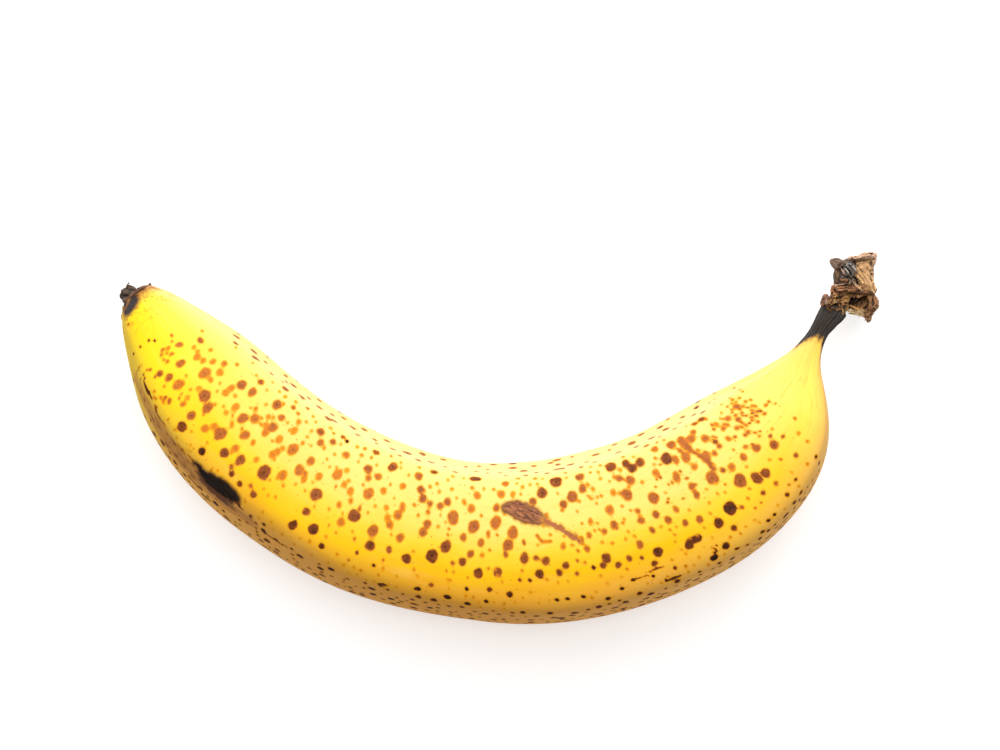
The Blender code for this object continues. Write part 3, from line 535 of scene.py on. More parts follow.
class PeelMarks:
    """Masks that place spots, scars and scuffs on the points of the peel."""

    def __init__(self, points, normals, along, at):
        around = points.shape[1]
        self.points = points.reshape(-1, 3)
        self.normals = normals.reshape(-1, 3)
        self.along = along.reshape(-1, 3)
        self.at = np.repeat(at, around)
        self.depth = np.full(len(self.points), UNMARKED_DEPTH)
        self.tone = np.zeros(len(self.points))
        self.offset = np.tile(UNMARKED_OFFSET, (len(self.points), 1))
        self.tree = kdtree.KDTree(len(self.points))
        for i, p in enumerate(self.points.tolist()):
            self.tree.insert(p, i)
        self.tree.balance()
        upper = np.nonzero(self.normals[:, 2] > UPPER_FACING)[0]
        self.plan = kdtree.KDTree(len(upper))
        for i in upper.tolist():
            x, y = self.points[i, :2].tolist()
            self.plan.insert((x, y, 0.0), i)
        self.plan.balance()
        self.middles = []

    def lift(self, x, y):
        """Peel point under a layout position, which is drawn on a level sheet."""
        eye_x, eye_y, eye_z = LAYOUT_EYE
        found = self.plan.find((x, y, 0.0))[1]
        for _ in range(3):
            share = (eye_z - self.points[found, 2]) / (eye_z - LAYOUT_LEVEL)
            plan = (eye_x + (x - eye_x) * share, eye_y + (y - eye_y) * share, 0.0)
            found = self.plan.find(plan)[1]
        return found

    def near(self, point, reach):
        found = self.tree.find_range(point, reach)
        return np.array([row[1] for row in found], int)

    def spot(self, centre, radius, stretch, tone, rng):
        """One rounded mark with a slightly wavy outline."""
        self.middles.append((centre, radius))
        middle = self.points[centre]
        reach = radius * max(stretch, 1.0) * 1.3 + OWN_REACH
        rows = self.near(middle.tolist(), reach)
        if not len(rows):
            return
        across = np.cross(self.normals[centre], self.along[centre])
        offset = self.points[rows] - middle
        lean = rng.uniform(-SPOT_LEAN, SPOT_LEAN)
        u = offset @ across
        v = offset @ self.along[centre]
        u, v = u * math.cos(lean) + v * math.sin(lean), v * math.cos(lean) - u * math.sin(lean)
        root = math.sqrt(stretch)
        distance = np.hypot(u / root, v * root)
        angle = np.arctan2(v, u)
        edge = 1.0
        for waves, height in SPOT_WAVES:
            edge = edge + height * np.sin(waves * angle + rng.uniform(0, 2 * math.pi))
        depth = radius * edge - distance
        better = depth > self.depth[rows]
        rows = rows[better]
        self.depth[rows] = depth[better]
        self.tone[rows] = tone
        offsets = np.stack((u / root, v * root, radius * edge), axis=1)
        self.offset[rows] = offsets[better]

    def placed_spot(self, x, y, radius, stretch, tone, size, rng):
        """One spot at a layout position, drawn wider and darker when it is small."""
        small = float(np.clip((SMALL_SPOT - radius) / SMALL_SPOT_SPAN, 0, 1))
        full = (radius + SMALL_SPOT_GAIN * small) * size
        darker = tone + SPOT_DARKER + SMALL_SPOT_DARKER * small
        self.spot(self.lift(x, y), full, stretch, darker, rng)

    def cluster(self, x, y, wide, deep, count, pale_speck_and_sheen, dark, rng):
        """Tiny freckles strewn round a layout position, clear of the marks already there."""
        for _ in range(count):
            found = self.lift(rng.normal(x, wide), rng.normal(y, deep))
            radius = rng.uniform(*FRECKLE_RADII)
            if self.depth[found] < FRECKLE_CLEARANCE:
                stretch = rng.uniform(*FRECKLE_STRETCHES)
                self.spot(found, radius, stretch, rng.uniform(pale_speck_and_sheen, dark), rng)

    def stroke_depth(self, stroke, reach):
        """Depth inside a drawn stroke, for every peel point within reach of it."""
        depth = np.full(len(self.points), OUTSIDE_STROKE)
        for (x0, y0, w0), (x1, y1, w1) in zip(stroke, stroke[1:]):
            steps = max(2, int(math.hypot(x1 - x0, y1 - y0) / STROKE_STEP))
            for t in np.linspace(0, 1, steps):
                w = w0 + (w1 - w0) * t
                middle = self.points[self.lift(x0 + (x1 - x0) * t, y0 + (y1 - y0) * t)]
                rows = self.near(middle.tolist(), w + reach)
                if len(rows):
                    inside = w - np.linalg.norm(self.points[rows] - middle, axis=1)
                    depth[rows] = np.maximum(depth[rows], inside)
        return depth

    def stroke(self, tone, stroke):
        """One drawn mark, filled evenly with its tone."""
        depth = self.stroke_depth(stroke, OWN_REACH)
        better = depth > self.depth
        self.depth[better] = depth[better]
        self.tone[better] = tone
        self.offset[better] = np.stack((2 - depth, 0 * depth, 2 + 0 * depth), axis=1)[better]

    def feature(self, name):
        """Depth inside a drawn feature of one or more strokes."""
        strokes, reach = FEATURES[name]
        return np.max([self.stroke_depth(stroke, reach) for stroke in strokes], axis=0)

    def scatter(self, areas, turn):
        """Seeded spots over the whole peel, kept clear of the spots already placed."""
        side = np.full(len(turn), "under", dtype=object)
        side[(turn > MAIN_SIDE[0]) & (turn < MAIN_SIDE[1])] = "main"
        side[(turn > HOLLOW_START) & (turn <= MAIN_SIDE[0])] = "hollow"
        side[(turn >= MAIN_SIDE[1]) | (turn < OUTER_END)] = "outer"
        rng = np.random.default_rng(SPOT_SEED)
        start, length = SEEDED_FADE_IN
        fade = np.clip((self.at - start) / length, 0, 1)
        start, length = SEEDED_FADE_OUT
        fade = fade * np.clip((start - self.at) / length, 0, 1)
        chance = areas * fade * (0.25 + 0.75 * (0.5 + 0.5 * cloud(self.points, 14.0, 3)))
        chance = np.maximum(chance, 0) * np.where(side == "outer", OUTER_CROWDING, 1.0)
        chance /= chance.sum()
        order = rng.choice(len(turn), size=SEEDED_TRIES, replace=False, p=chance)
        cells = {}
        for centre, radius in self.middles:
            hold(cells, self.points[centre], radius)
        made = 0
        for centre in order.tolist():
            if made >= SEEDED_MOST:
                break
            smallest, extra, rarity, spare = SEEDED_SPOTS[side[centre]]
            radius = smallest + extra * rng.random() ** rarity
            place = self.points[centre]
            if crowded(cells, place, radius, spare, rng):
                continue
            tone = 0.5 + 1.5 * min(1.0, radius - 0.28) + rng.normal(0, 0.35)
            tone = np.clip(tone, 0.1, 2.6)
            if side[centre] in SEEDED_TONES:
                tone = rng.uniform(*SEEDED_TONES[side[centre]])
            self.spot(centre, radius, rng.uniform(*SEEDED_STRETCHES), tone, rng)
            hold(cells, place, radius)
            made += 1


def hold(cells, place, radius):
    """Notes a spot in the box of space that it lies in."""
    cells.setdefault(tuple((place // CELL).astype(int)), []).append((place, radius))


def crowded(cells, place, radius, spare, rng):
    """True where a spot would sit too close to another, though a few are let through."""
    cell = (place // CELL).astype(int)
    clash = False
    for step in product((-1, 0, 1), repeat=3):
        for other, size in cells.get(tuple(cell + step), ()):
            gap = np.linalg.norm(other - place) - size - radius
            if gap < spare and rng.random() < CLASH_REFUSED:
                clash = True
    return clash


# ------------------------ peel mesh

# How golden the peel is by turn round the section: 0 faces the hollow side, 90 up.
# The lemon top is partly the skin's colour and partly painted highlight.
GILDING_AND_TOP_HIGHLIGHT = (
    (-180, 1.0), (-110, 1.0), (-80, 0.85), (-50, 0.5), (-20, 0.12), (10, 0.0), (60, 0.0),
    (76, 0.06), (90, 0.30), (101, 0.55), (111, 0.76), (119, 0.90), (126, 1.0), (180, 1.0),
)
# How far each point belongs to the hollow side, painted paler as a sheen, and to the outer side,
# painted tan as partly the skin's browning and partly painted shade.
HOLLOW_SHEEN = ((-180, 0), (-60, 0), (-20, 1), (26, 1), (40, 0.75), (58, 0.2), (80, 0), (180, 0))
OUTER_SIDE = ((-180, 1), (-120, 1), (-90, 0), (114, 0), (138, 1), (180, 1))
# The yellow reaches further up the stem on top than at its sides.
STEM_TONGUE = 2.2
GRAIN_RADIUS = 18.0
PLEAT_START = 188.0
STEM_START = 204.6
# Noise in the skin's relief: stretch along the fruit, size across it, seed.
SKIN_NOISES = {
    "broad": (1.0, 21.0, 1),
    "medium": (0.35, 7.0, 2),
    "grain": (0.10, 1.7, 4),
    "pleats": (0.22, 5.2, 5),
    "ribs": (0.16, 6.5, 6),
    "knobs": (0.8, 4.0, 7),
}
NECK_RANGE = (176, 190)
TIP_RANGE = (2.0, 15.0)
END_FADE = 1.5
# Heights of that relief, in millimetres, on the body, the neck, the stem and the tip.
BODY_RELIEF = {"broad": 0.16, "medium": 0.07, "grain": 0.035}
NECK_PLEATS = 0.20
STEM_RELIEF = {"ribs": 0.07, "grain": 0.06, "knobs": 0.30}
TIP_PLEATS = 0.22
# How deep the marks are sunk and how far the healed ones stand proud.
BRUISE_SUNK = 0.28
TAIL_SUNK = 0.10
SPOT_SUNK = 0.045
SUNK_TONE = 1.2
SCAR_PROUD = 0.09
SCAB_PROUD = 0.55


def smooth_step(values, low, high):
    """Values eased from 0 at low to 1 at high."""
    t = np.clip((values - low) / (high - low), 0, 1)
    return t * t * (3 - 2 * t)


def grain_space(at, around):
    """Distance along the fruit and a circle round it, so streaks run without a seam."""
    angle = 2 * np.pi * np.arange(around) / around
    space = np.empty((len(at), around, 3))
    space[..., 0] = at[:, None]
    space[..., 1] = GRAIN_RADIUS * np.cos(angle)
    space[..., 2] = GRAIN_RADIUS * np.sin(angle)
    return space


def wrinkle_heights(space, at, turn):
    """Height in millimetres of the natural waviness, grain, pleats and stem ribs."""
    flat = space.reshape(-1, 3)
    rough = {
        name: cloud(flat * (stretch, 1, 1), size, seed).reshape(turn.shape)
        for name, (stretch, size, seed) in SKIN_NOISES.items()
    }
    stem = smooth_step(at, PLEAT_START + 6, STEM_START + 6)[:, None]
    neck = smooth_step(at, *NECK_RANGE)[:, None] * (1 - stem)
    tip = (1 - smooth_step(at, *TIP_RANGE))[:, None]
    ends = np.clip(np.minimum(at, PATH_END - at) / END_FADE, 0, 1)[:, None]
    body = sum(height * rough[name] for name, height in BODY_RELIEF.items())
    fine = NECK_PLEATS * neck * rough["pleats"]
    for name, height in STEM_RELIEF.items():
        fine = fine + height * stem * rough[name]
    relief = body * (1 - 0.4 * stem) + fine + TIP_PLEATS * tip * rough["pleats"]
    return relief * np.clip(ends + 0.2, 0, 1)


def linked(name, data):
    """A new object for a mesh, a lamp or a camera, linked to the scene."""
    made = bpy.data.objects.new(name, data)
    bpy.context.scene.collection.objects.link(made)
    return made


def shade_smooth(mesh):
    mesh.polygons.foreach_set("use_smooth", [True] * len(mesh.polygons))
    mesh.update()


def closed_grid(points, name):
    """Closed mesh object from a grid of rings, with one point closing each end."""
    rings, around = points.shape[:2]
    flat = points.reshape(-1, 3)
    ends = np.array([points[0].mean(axis=0), points[-1].mean(axis=0)])
    i = np.arange(rings - 1)[:, None] * around
    j = np.arange(around)[None, :]
    k = (j + 1) % around
    quads = np.stack((i + j, i + k, i + around + k, i + around + j), axis=2).reshape(-1, 4)
    first, last = len(flat), len(flat) + 1
    base = (rings - 1) * around
    caps = [(first, (a + 1) % around, a) for a in range(around)]
    caps += [(last, base + a, base + (a + 1) % around) for a in range(around)]
    mesh = bpy.data.meshes.new(name)
    verts = np.vstack((flat, ends)) * MM
    mesh.from_pydata(verts.tolist(), [], quads.tolist() + caps)
    shade_smooth(mesh)
    return linked(name, mesh)


def give(mesh, name, values):
    """Stores a number or a vector for each point of a mesh; end points take the last one."""
    values = np.asarray(values, float)
    kind = "FLOAT" if values.ndim == 1 else "FLOAT_VECTOR"
    field = "value" if values.ndim == 1 else "vector"
    spare = len(mesh.vertices) - len(values)
    if spare:
        tail = np.zeros((spare,) + values.shape[1:]) + values[-1]
        values = np.concatenate((values, tail))
    layer = mesh.attributes.new(name, kind, "POINT")
    layer.data.foreach_set(field, values.ravel())


def mark_peel(marks, settings):
    """Places every spot, stroke and freckle that is listed."""
    rng = np.random.default_rng(SPOT_SEED + 1)
    for x, y, radius, stretch, tone in PLACED_SPOTS:
        marks.placed_spot(x, y, radius, stretch, tone, settings.spot_size, rng)
    for tone, stroke in PLACED_STROKES:
        marks.stroke(tone, stroke)
    for cluster in CLUSTERS:
        marks.cluster(*cluster, rng)


def mark_heights(marks, depths):
    """Height in millimetres of the sunk and raised marks at every peel point."""
    sunk = BRUISE_SUNK * smooth_step(depths["bruise"], -0.6, 1.2)
    sunk += TAIL_SUNK * smooth_step(depths["tail"], -0.4, 0.3)
    sunk += SPOT_SUNK * smooth_step(marks.depth, -0.1, 0.5) * (marks.tone > SUNK_TONE)
    crease = cloud(marks.points, 1.1, 9)
    raised = SCAR_PROUD * smooth_step(depths["scar"], -0.5, 0.8) * (1 + 0.8 * crease)
    raised += SCAB_PROUD * smooth_step(depths["scab"], -0.8, 0.4) * (1 + 0.9 * crease)
    return raised - sunk


def peel_piece(settings):
    """The whole peel as one closed mesh with its marks stored on its points."""
    points, at, turn = skin_grid(FruitLines())
    space = grain_space(at, AROUND)
    normals = grid_normals(points)[0]
    points = points + normals * wrinkle_heights(space, at, turn)[..., None]
    normals, along = grid_normals(points)

    marks = PeelMarks(points, normals, along, at)
    mark_peel(marks, settings)
    flat_turn = turn.reshape(-1)
    from_middle = np.linalg.norm(points - points.mean(axis=1, keepdims=True), axis=2)
    areas = np.repeat(from_middle.mean(axis=1) * np.gradient(at), AROUND)
    marks.scatter(np.abs(areas), flat_turn)

    depths = {name: marks.feature(name) for name in FEATURES}
    heights = mark_heights(marks, depths).reshape(turn.shape)
    points = points + normals * heights[..., None]
    points[..., 2] = np.maximum(points[..., 2], 0.0)

    piece = closed_grid(points, "peel")
    mesh = piece.data
    give(mesh, "grain_space", space.reshape(-1, 3))
    give(mesh, "gilding_and_top_highlight", read_table(GILDING_AND_TOP_HIGHLIGHT, flat_turn))
    give(mesh, "spot_depth", marks.depth)
    give(mesh, "spot_tone", marks.tone)
    give(mesh, "spot_offset", marks.offset)
    for name in PAINTED_FEATURES:
        give(mesh, name + "_depth", np.maximum(depths[name], FEATURE_FLOOR))
    give(mesh, "hollow_sheen", read_table(HOLLOW_SHEEN, flat_turn))
    give(mesh, "outer_side", read_table(OUTER_SIDE, flat_turn))
    tongue = STEM_TONGUE * np.cos(np.radians(2 * (flat_turn - 90)))
    give(mesh, "stem_run", np.repeat(at, AROUND) - tongue)
    return piece


# ------------------------ materials


class Wiring:
    """Adds and links the shader nodes of one material."""

    def __init__(self, name):
        self.material = bpy.data.materials.new(name)
        self.material.use_nodes = True
        self.tree = self.material.node_tree
        self.tree.nodes.clear()
        self.output = self.tree.nodes.new("ShaderNodeOutputMaterial")
        self.surface = self.tree.nodes.new("ShaderNodeBsdfPrincipled")
        self.tree.links.new(self.surface.outputs["BSDF"], self.output.inputs["Surface"])

    def put(self, value, socket):
        if isinstance(value, bpy.types.NodeSocket):
            self.tree.links.new(value, socket)
        elif isinstance(value, tuple) and len(value) == 3 and socket.type == "RGBA":
            socket.default_value = (*value, 1.0)
        else:
            socket.default_value = value

    def set(self, name, value):
        self.put(value, self.surface.inputs[name])

    def maths(self, operation, *values, clamp=False):
        node = self.tree.nodes.new("ShaderNodeMath")
        node.operation = operation
        node.use_clamp = clamp
        for value, socket in zip(values, node.inputs):
            self.put(value, socket)
        return node.outputs[0]

    def times(self, *values):
        result = values[0]
        for value in values[1:]:
            result = self.maths("MULTIPLY", result, value)
        return result

    def mix(self, factor, first, second):
        node = self.tree.nodes.new("ShaderNodeMix")
        node.data_type = "RGBA"
        node.clamp_result = True
        self.put(factor, node.inputs[0])
        self.put(first, node.inputs[6])
        self.put(second, node.inputs[7])
        return node.outputs[2]

    def spread(self, value, low, high, bottom=0.0, top=1.0, smooth=True):
        """A value carried from low..high to bottom..top, held at both ends."""
        node = self.tree.nodes.new("ShaderNodeMapRange")
        node.interpolation_type = "SMOOTHSTEP" if smooth else "LINEAR"
        for number, socket in zip((value, low, high, bottom, top), node.inputs):
            self.put(number, socket)
        return node.outputs[0]

    def stored(self, name, output):
        node = self.tree.nodes.new("ShaderNodeAttribute")
        node.attribute_name = name
        return node.outputs[output]

    def wander(self, value, roughness, amount, low=0.25, high=0.75, smooth=False, clamp=False):
        """A value with noise added, so that an edge drawn from it wanders by the amount."""
        shift = self.spread(roughness, low, high, -amount, amount, smooth=smooth)
        return self.maths("ADD", value, shift, clamp=clamp)

    def number(self, name):
        return self.stored(name, "Fac")

    def vector(self, name):
        return self.stored(name, "Vector")

    def colour(self, name):
        return self.stored(name, "Color")

    def position(self):
        """The position in the piece, in millimetres."""
        node = self.tree.nodes.new("ShaderNodeTexCoord")
        return self.scaled(node.outputs["Object"], (1 / MM, 1 / MM, 1 / MM))

    def axis(self, vector, axis):
        """One number of a vector."""
        node = self.tree.nodes.new("ShaderNodeSeparateXYZ")
        self.put(vector, node.inputs[0])
        return node.outputs[axis]

    def scaled(self, vector, amounts):
        node = self.tree.nodes.new("ShaderNodeVectorMath")
        node.operation = "MULTIPLY"
        self.put(vector, node.inputs[0])
        self.put(amounts, node.inputs[1])
        return node.outputs[0]

    def turned(self, vector, degrees):
        """A vector turned about the vertical."""
        node = self.tree.nodes.new("ShaderNodeVectorRotate")
        node.rotation_type = "Z_AXIS"
        self.put(vector, node.inputs["Vector"])
        node.inputs["Angle"].default_value = math.radians(degrees)
        return node.outputs[0]

    def length(self, vector):
        node = self.tree.nodes.new("ShaderNodeVectorMath")
        node.operation = "LENGTH"
        self.put(vector, node.inputs[0])
        return node.outputs["Value"]

    def noise(self, vector, size, detail=2.0, roughness=0.5, warp=0.0):
        node = self.tree.nodes.new("ShaderNodeTexNoise")
        self.put(vector, node.inputs["Vector"])
        node.inputs["Scale"].default_value = 1 / size
        node.inputs["Detail"].default_value = detail
        node.inputs["Roughness"].default_value = roughness
        node.inputs["Distortion"].default_value = warp
        return node.outputs["Fac"]

    def cells(self, vector, size):
        """Distance to the nearest random dot, and a random number for that dot."""
        node = self.tree.nodes.new("ShaderNodeTexVoronoi")
        self.put(vector, node.inputs["Vector"])
        node.inputs["Scale"].default_value = 1 / size
        split = self.tree.nodes.new("ShaderNodeSeparateColor")
        self.put(node.outputs["Color"], split.inputs[0])
        return node.outputs["Distance"], split.outputs[0]

    def bands(self, value, stops):
        node = self.tree.nodes.new("ShaderNodeValToRGB")
        ramp = node.color_ramp
        while len(ramp.elements) < len(stops):
            ramp.elements.new(0.5)
        for element, (place, colour) in zip(ramp.elements, stops):
            element.position = place
            element.color = (*colour, 1.0)
        self.put(value, node.inputs["Fac"])
        return node.outputs["Color"]

    def bump(self, height, distance, strength=1.0):
        node = self.tree.nodes.new("ShaderNodeBump")
        node.inputs["Strength"].default_value = strength
        node.inputs["Distance"].default_value = distance * MM
        self.put(height, node.inputs["Height"])
        self.set("Normal", node.outputs[0])


SPOT_TONES = (
    (0.00, (0.80, 0.310, 0.004)),
    (0.20, (0.71, 0.215, 0.005)),
    (0.36, (0.53, 0.150, 0.014)),
    (0.48, (0.42, 0.114, 0.017)),
    (0.62, (0.30, 0.076, 0.012)),
    (0.77, (0.170, 0.040, 0.004)),
    (0.90, (0.080, 0.020, 0.004)),
    (1.00, (0.022, 0.010, 0.006)),
)


def peel_material(settings):
    """Waxy ripe skin: lemon to gold, streaked, spotted, scuffed and bruised, with painted highlight
    on top, painted sheen on the hollow side and partly painted shade on the outer side.
    """
    w = Wiring("ripe_banana_skin")
    grain = w.vector("grain_space")
    real = w.position()
    streak_fine = w.noise(w.scaled(grain, (0.10, 1.0, 1.0)), 0.55, 2.0, 0.6)
    streak_wide = w.noise(w.scaled(grain, (0.16, 1.0, 1.0)), 3.4, 3.0, 0.55)
    cloudy = w.noise(real, 13.0, 3.0, 0.55)
    mottle = w.noise(real, 1.1, 3.0, 0.6)
    fine = w.noise(real, 0.42, 2.0, 0.6)
    along = w.axis(grain, 0)

    # lemon on top turning to gold on the outer side, paler toward both ends; the lemon top is partly
    # the skin's colour and partly painted highlight, the bleached look of brightly lit skin
    gold = w.wander(w.number("gilding_and_top_highlight"), cloudy, 0.07, 0.3, 0.7, smooth=True, clamp=True)
    gold = w.wander(gold, streak_wide, 0.06, 0.3, 0.7, smooth=True, clamp=True)
    to_stem = w.spread(along, 178.0, 197.0, 1.0, 0.40)
    gold = w.times(gold, to_stem, w.spread(along, 10.0, 40.0, 0.62, 1.0))
    gold = w.times(gold, w.spread(along, 132.0, 172.0, 1.0, 0.74))
    skin = w.bands(
        gold,
        (
            (0.00, tuple(settings.lemon)),
            (0.40, (0.905, 0.620, 0.030)),
            (0.70, (0.905, 0.530, 0.002)),
            (1.00, tuple(settings.gold)),
        ),
    )
    skin = w.mix(w.spread(along, 14.0, 58.0, 0.85, 0.0), skin, (0.90, 0.668, 0.009))
    # painted sheen: the hollow side is drawn in a whitish cream, the sheen the back light gives
    # there
    skin = w.mix(w.times(w.number("hollow_sheen"), 0.70), skin, (0.90, 0.662, 0.270))
    neck = w.times(w.spread(along, 172.0, 192.0), w.spread(gold, 0.75, 1.0, 1.0, 0.3))
    skin = w.mix(w.times(neck, 0.60), skin, (0.90, 0.665, 0.120))
    collar = w.times(w.spread(along, 190.0, 203.0), w.spread(streak_wide, 0.35, 0.65, 0.35, 0.95))
    skin = w.mix(w.times(collar, 0.75), skin, (0.88, 0.50, 0.085))
    vein = w.noise(w.scaled(grain, (0.26, 1.1, 1.1)), 1.5, 3.0, 0.6, warp=0.8)
    veined = w.times(w.spread(vein, 0.56, 0.64), w.spread(along, 174.0, 192.0))
    skin = w.mix(w.times(veined, 0.40), skin, (0.84, 0.400, 0.050))
    skin = w.mix(w.spread(streak_fine, 0.35, 0.75, 0.0, 0.16), skin, (0.70, 0.42, 0.03))
    skin = w.mix(w.spread(streak_wide, 0.52, 0.8, 0.0, 0.14), skin, (0.93, 0.84, 0.36))

    # outer side painted tan: partly the skin's own browning, partly painted shade on the side turned
    # from the lights; lighter toward both ends
    tip_lit = w.spread(along, 40.0, 95.0, 0.85, 0.0)
    ends_lit = w.maths("MAXIMUM", w.spread(along, 100.0, 160.0), tip_lit)
    tan_and_shade = w.mix(ends_lit, (0.78, 0.335, 0.062), (0.91, 0.455, 0.120))
    tan_and_shade_amount = w.times(w.number("outer_side"), w.spread(along, 12.0, 44.0, 0.25, 0.72))
    skin = w.mix(tan_and_shade_amount, skin, tan_and_shade)

    # freckles too small to store on the mesh
    dot, chance = w.cells(real, 1.5)
    freckle = w.times(w.spread(dot, 0.10, 0.18, 1.0, 0.0), w.spread(chance, 0.48, 0.50))
    freckle = w.times(freckle, w.spread(cloudy, 0.35, 0.6, 0.35, 1.0))
    ends = w.times(w.spread(along, 12.0, 30.0), w.spread(along, 176.0, 196.0, 1.0, 0.35))
    skin = w.mix(w.times(freckle, ends, 0.85), skin, (0.66, 0.235, 0.010))

    # round spots with an amber halo, a wavy edge and a mottled fill
    offset = w.vector("spot_offset")
    size = w.axis(offset, 2)
    reach = w.length(w.scaled(offset, (1.0, 1.0, 0.0)))
    round_depth = w.maths("SUBTRACT", size, reach)
    heart_depth = w.maths("SUBTRACT", 1.0, w.maths("DIVIDE", reach, size))
    tone = w.number("spot_tone")
    wavy = w.wander(round_depth, mottle, 0.10)
    wavy = w.wander(wavy, fine, 0.05)
    wavy = w.maths("MINIMUM", wavy, w.maths("ADD", w.number("spot_depth"), 0.06))
    halo = w.times(w.spread(wavy, -0.40, 0.03), w.spread(tone, 0.1, 0.8, 0.75, 1.0))
    skin = w.mix(halo, skin, (0.78, 0.325, 0.006))
    shade = w.wander(tone, mottle, 0.30, 0.3, 0.7)
    shade = w.wander(shade, fine, 0.16, 0.35, 0.65)
    shade = w.maths("SUBTRACT", shade, w.spread(wavy, 0.05, 0.42, 0.45, 0.0))
    heart = w.times(w.spread(heart_depth, 0.76, 0.94), w.spread(size, 0.70, 0.95))
    shade = w.maths("ADD", shade, w.times(heart, w.spread(cloudy, 0.35, 0.6, 0.2, 0.75)))
    spot_colour = w.bands(w.maths("MULTIPLY", shade, 1 / 3), SPOT_TONES)
    skin = w.mix(w.spread(wavy, -0.04, 0.13), skin, spot_colour)

    # brown scuffed band with lengthwise scratches
    band = w.spread(w.number("scuff_depth"), -2.2, 0.6)
    scratch = w.noise(w.scaled(grain, (0.22, 1.2, 1.2)), 0.95, 4.0, 0.72, warp=0.9)
    scuffed = w.times(band, w.spread(scratch, 0.25, 0.55, 0.40, 1.0), 0.85)
    skin = w.mix(scuffed, skin, (0.54, 0.215, 0.042))
    scratched = w.times(band, w.spread(scratch, 0.53, 0.63), 0.80)
    skin = w.mix(scratched, skin, (0.130, 0.046, 0.014))

    # healed scar with a translucent halo and a reddish tail
    scar = w.wander(w.number("scar_depth"), mottle, 0.18, smooth=True)
    skin = w.mix(w.spread(scar, -0.9, 0.0, 0.0, 0.85), skin, (0.47, 0.185, 0.012))
    skin = w.mix(w.spread(scar, -0.15, 0.40, 0.0, 0.95), skin, (0.33, 0.110, 0.042))
    lengthwise = w.turned(real, SCAR_HEADING)
    crinkle = w.noise(w.scaled(lengthwise, (0.28, 1.3, 1.0)), 0.62, 3.0, 0.65, warp=0.7)
    folds = w.times(w.spread(scar, 0.05, 0.5), w.spread(crinkle, 0.48, 0.56))
    skin = w.mix(w.times(folds, 0.92), skin, (0.100, 0.032, 0.016))
    pale_folds = w.times(w.spread(scar, 0.2, 0.7), w.spread(crinkle, 0.34, 0.42, 1.0, 0.0))
    skin = w.mix(w.times(pale_folds, 0.6), skin, (0.52, 0.22, 0.095))
    outline = w.times(w.spread(scar, -0.25, 0.05), w.spread(scar, 0.15, 0.45, 1.0, 0.0))
    skin = w.mix(w.times(outline, 0.7), skin, (0.160, 0.052, 0.018))
    tail = w.wander(w.number("tail_depth"), mottle, 0.3, smooth=True)
    skin = w.mix(w.spread(tail, -0.80, 0.0, 0.0, 0.60), skin, (0.72, 0.300, 0.012))
    skin = w.mix(w.spread(tail, -0.30, 0.25, 0.0, 0.94), skin, (0.38, 0.108, 0.034))

    # black bruise with a brown translucent edge
    bruise = w.wander(w.number("bruise_depth"), mottle, 0.13, 0.2, 0.8, smooth=True)
    stain = w.wander(w.number("stain_depth"), scratch, 0.45, 0.3, 0.7, smooth=True)
    skin = w.mix(w.spread(stain, -1.0, 0.5, 0.0, 0.94), skin, (0.100, 0.032, 0.012))
    skin = w.mix(w.spread(bruise, -1.15, 0.0, 0.0, 0.92), skin, (0.170, 0.056, 0.012))
    flesh = w.bands(scratch, ((0.40, (0.006, 0.005, 0.004)), (0.62, (0.030, 0.017, 0.012))))
    skin = w.mix(w.spread(bruise, -0.45, 0.40), skin, flesh)

    # dried ends
    frayed = w.wander(w.number("stem_run"), streak_wide, 1.1)
    frayed = w.wander(frayed, mottle, 0.4)
    ragged = w.wander(along, mottle, 1.6)
    tan = w.times(w.spread(ragged, 0.4, 3.6, 1.0, 0.0), 0.85)
    skin = w.mix(tan, skin, (0.36, 0.130, 0.035))
    freckled = w.times(w.spread(along, 3.0, 12.0, 1.0, 0.0), w.spread(mottle, 0.52, 0.66))
    skin = w.mix(w.times(freckled, 0.7), skin, (0.72, 0.29, 0.012))
    char = w.wander(w.number("char_depth"), mottle, 0.35, smooth=True)
    skin = w.mix(w.spread(char, -1.2, 0.3, 0.0, 0.8), skin, (0.30, 0.105, 0.030))
    skin = w.mix(w.spread(char, -0.3, 0.7), skin, (0.036, 0.028, 0.026))
    stem_edge = w.spread(frayed, STEM_START - 1.5, STEM_START + 0.6)
    blotch = w.times(stem_edge, w.spread(mottle, 0.3, 0.6, 0.35, 1.0))
    skin = w.mix(w.times(blotch, 0.8), skin, (0.36, 0.155, 0.035))
    stem = w.spread(frayed, STEM_START - 0.2, STEM_START + 1.3)
    stem_colour = w.bands(
        w.noise(w.scaled(grain, (0.2, 1.0, 1.0)), 2.0, 3.0, 0.65),
        (
            (0.30, (0.030, 0.025, 0.022)),
            (0.55, (0.045, 0.038, 0.034)),
            (0.75, (0.070, 0.060, 0.053)),
        ),
    )
    skin = w.mix(stem, skin, stem_colour)
    scrape = w.noise(w.scaled(grain, (0.45, 1.6, 1.6)), 0.8, 2.0, 0.6, warp=0.6)
    up_stem = w.spread(along, STEM_START + 3.0, STEM_START + 8.0)
    scraped = w.times(up_stem, w.spread(scrape, 0.60, 0.68))
    skin = w.mix(w.times(scraped, 0.45), skin, (0.160, 0.140, 0.125))
    w.set("Base Color", skin)

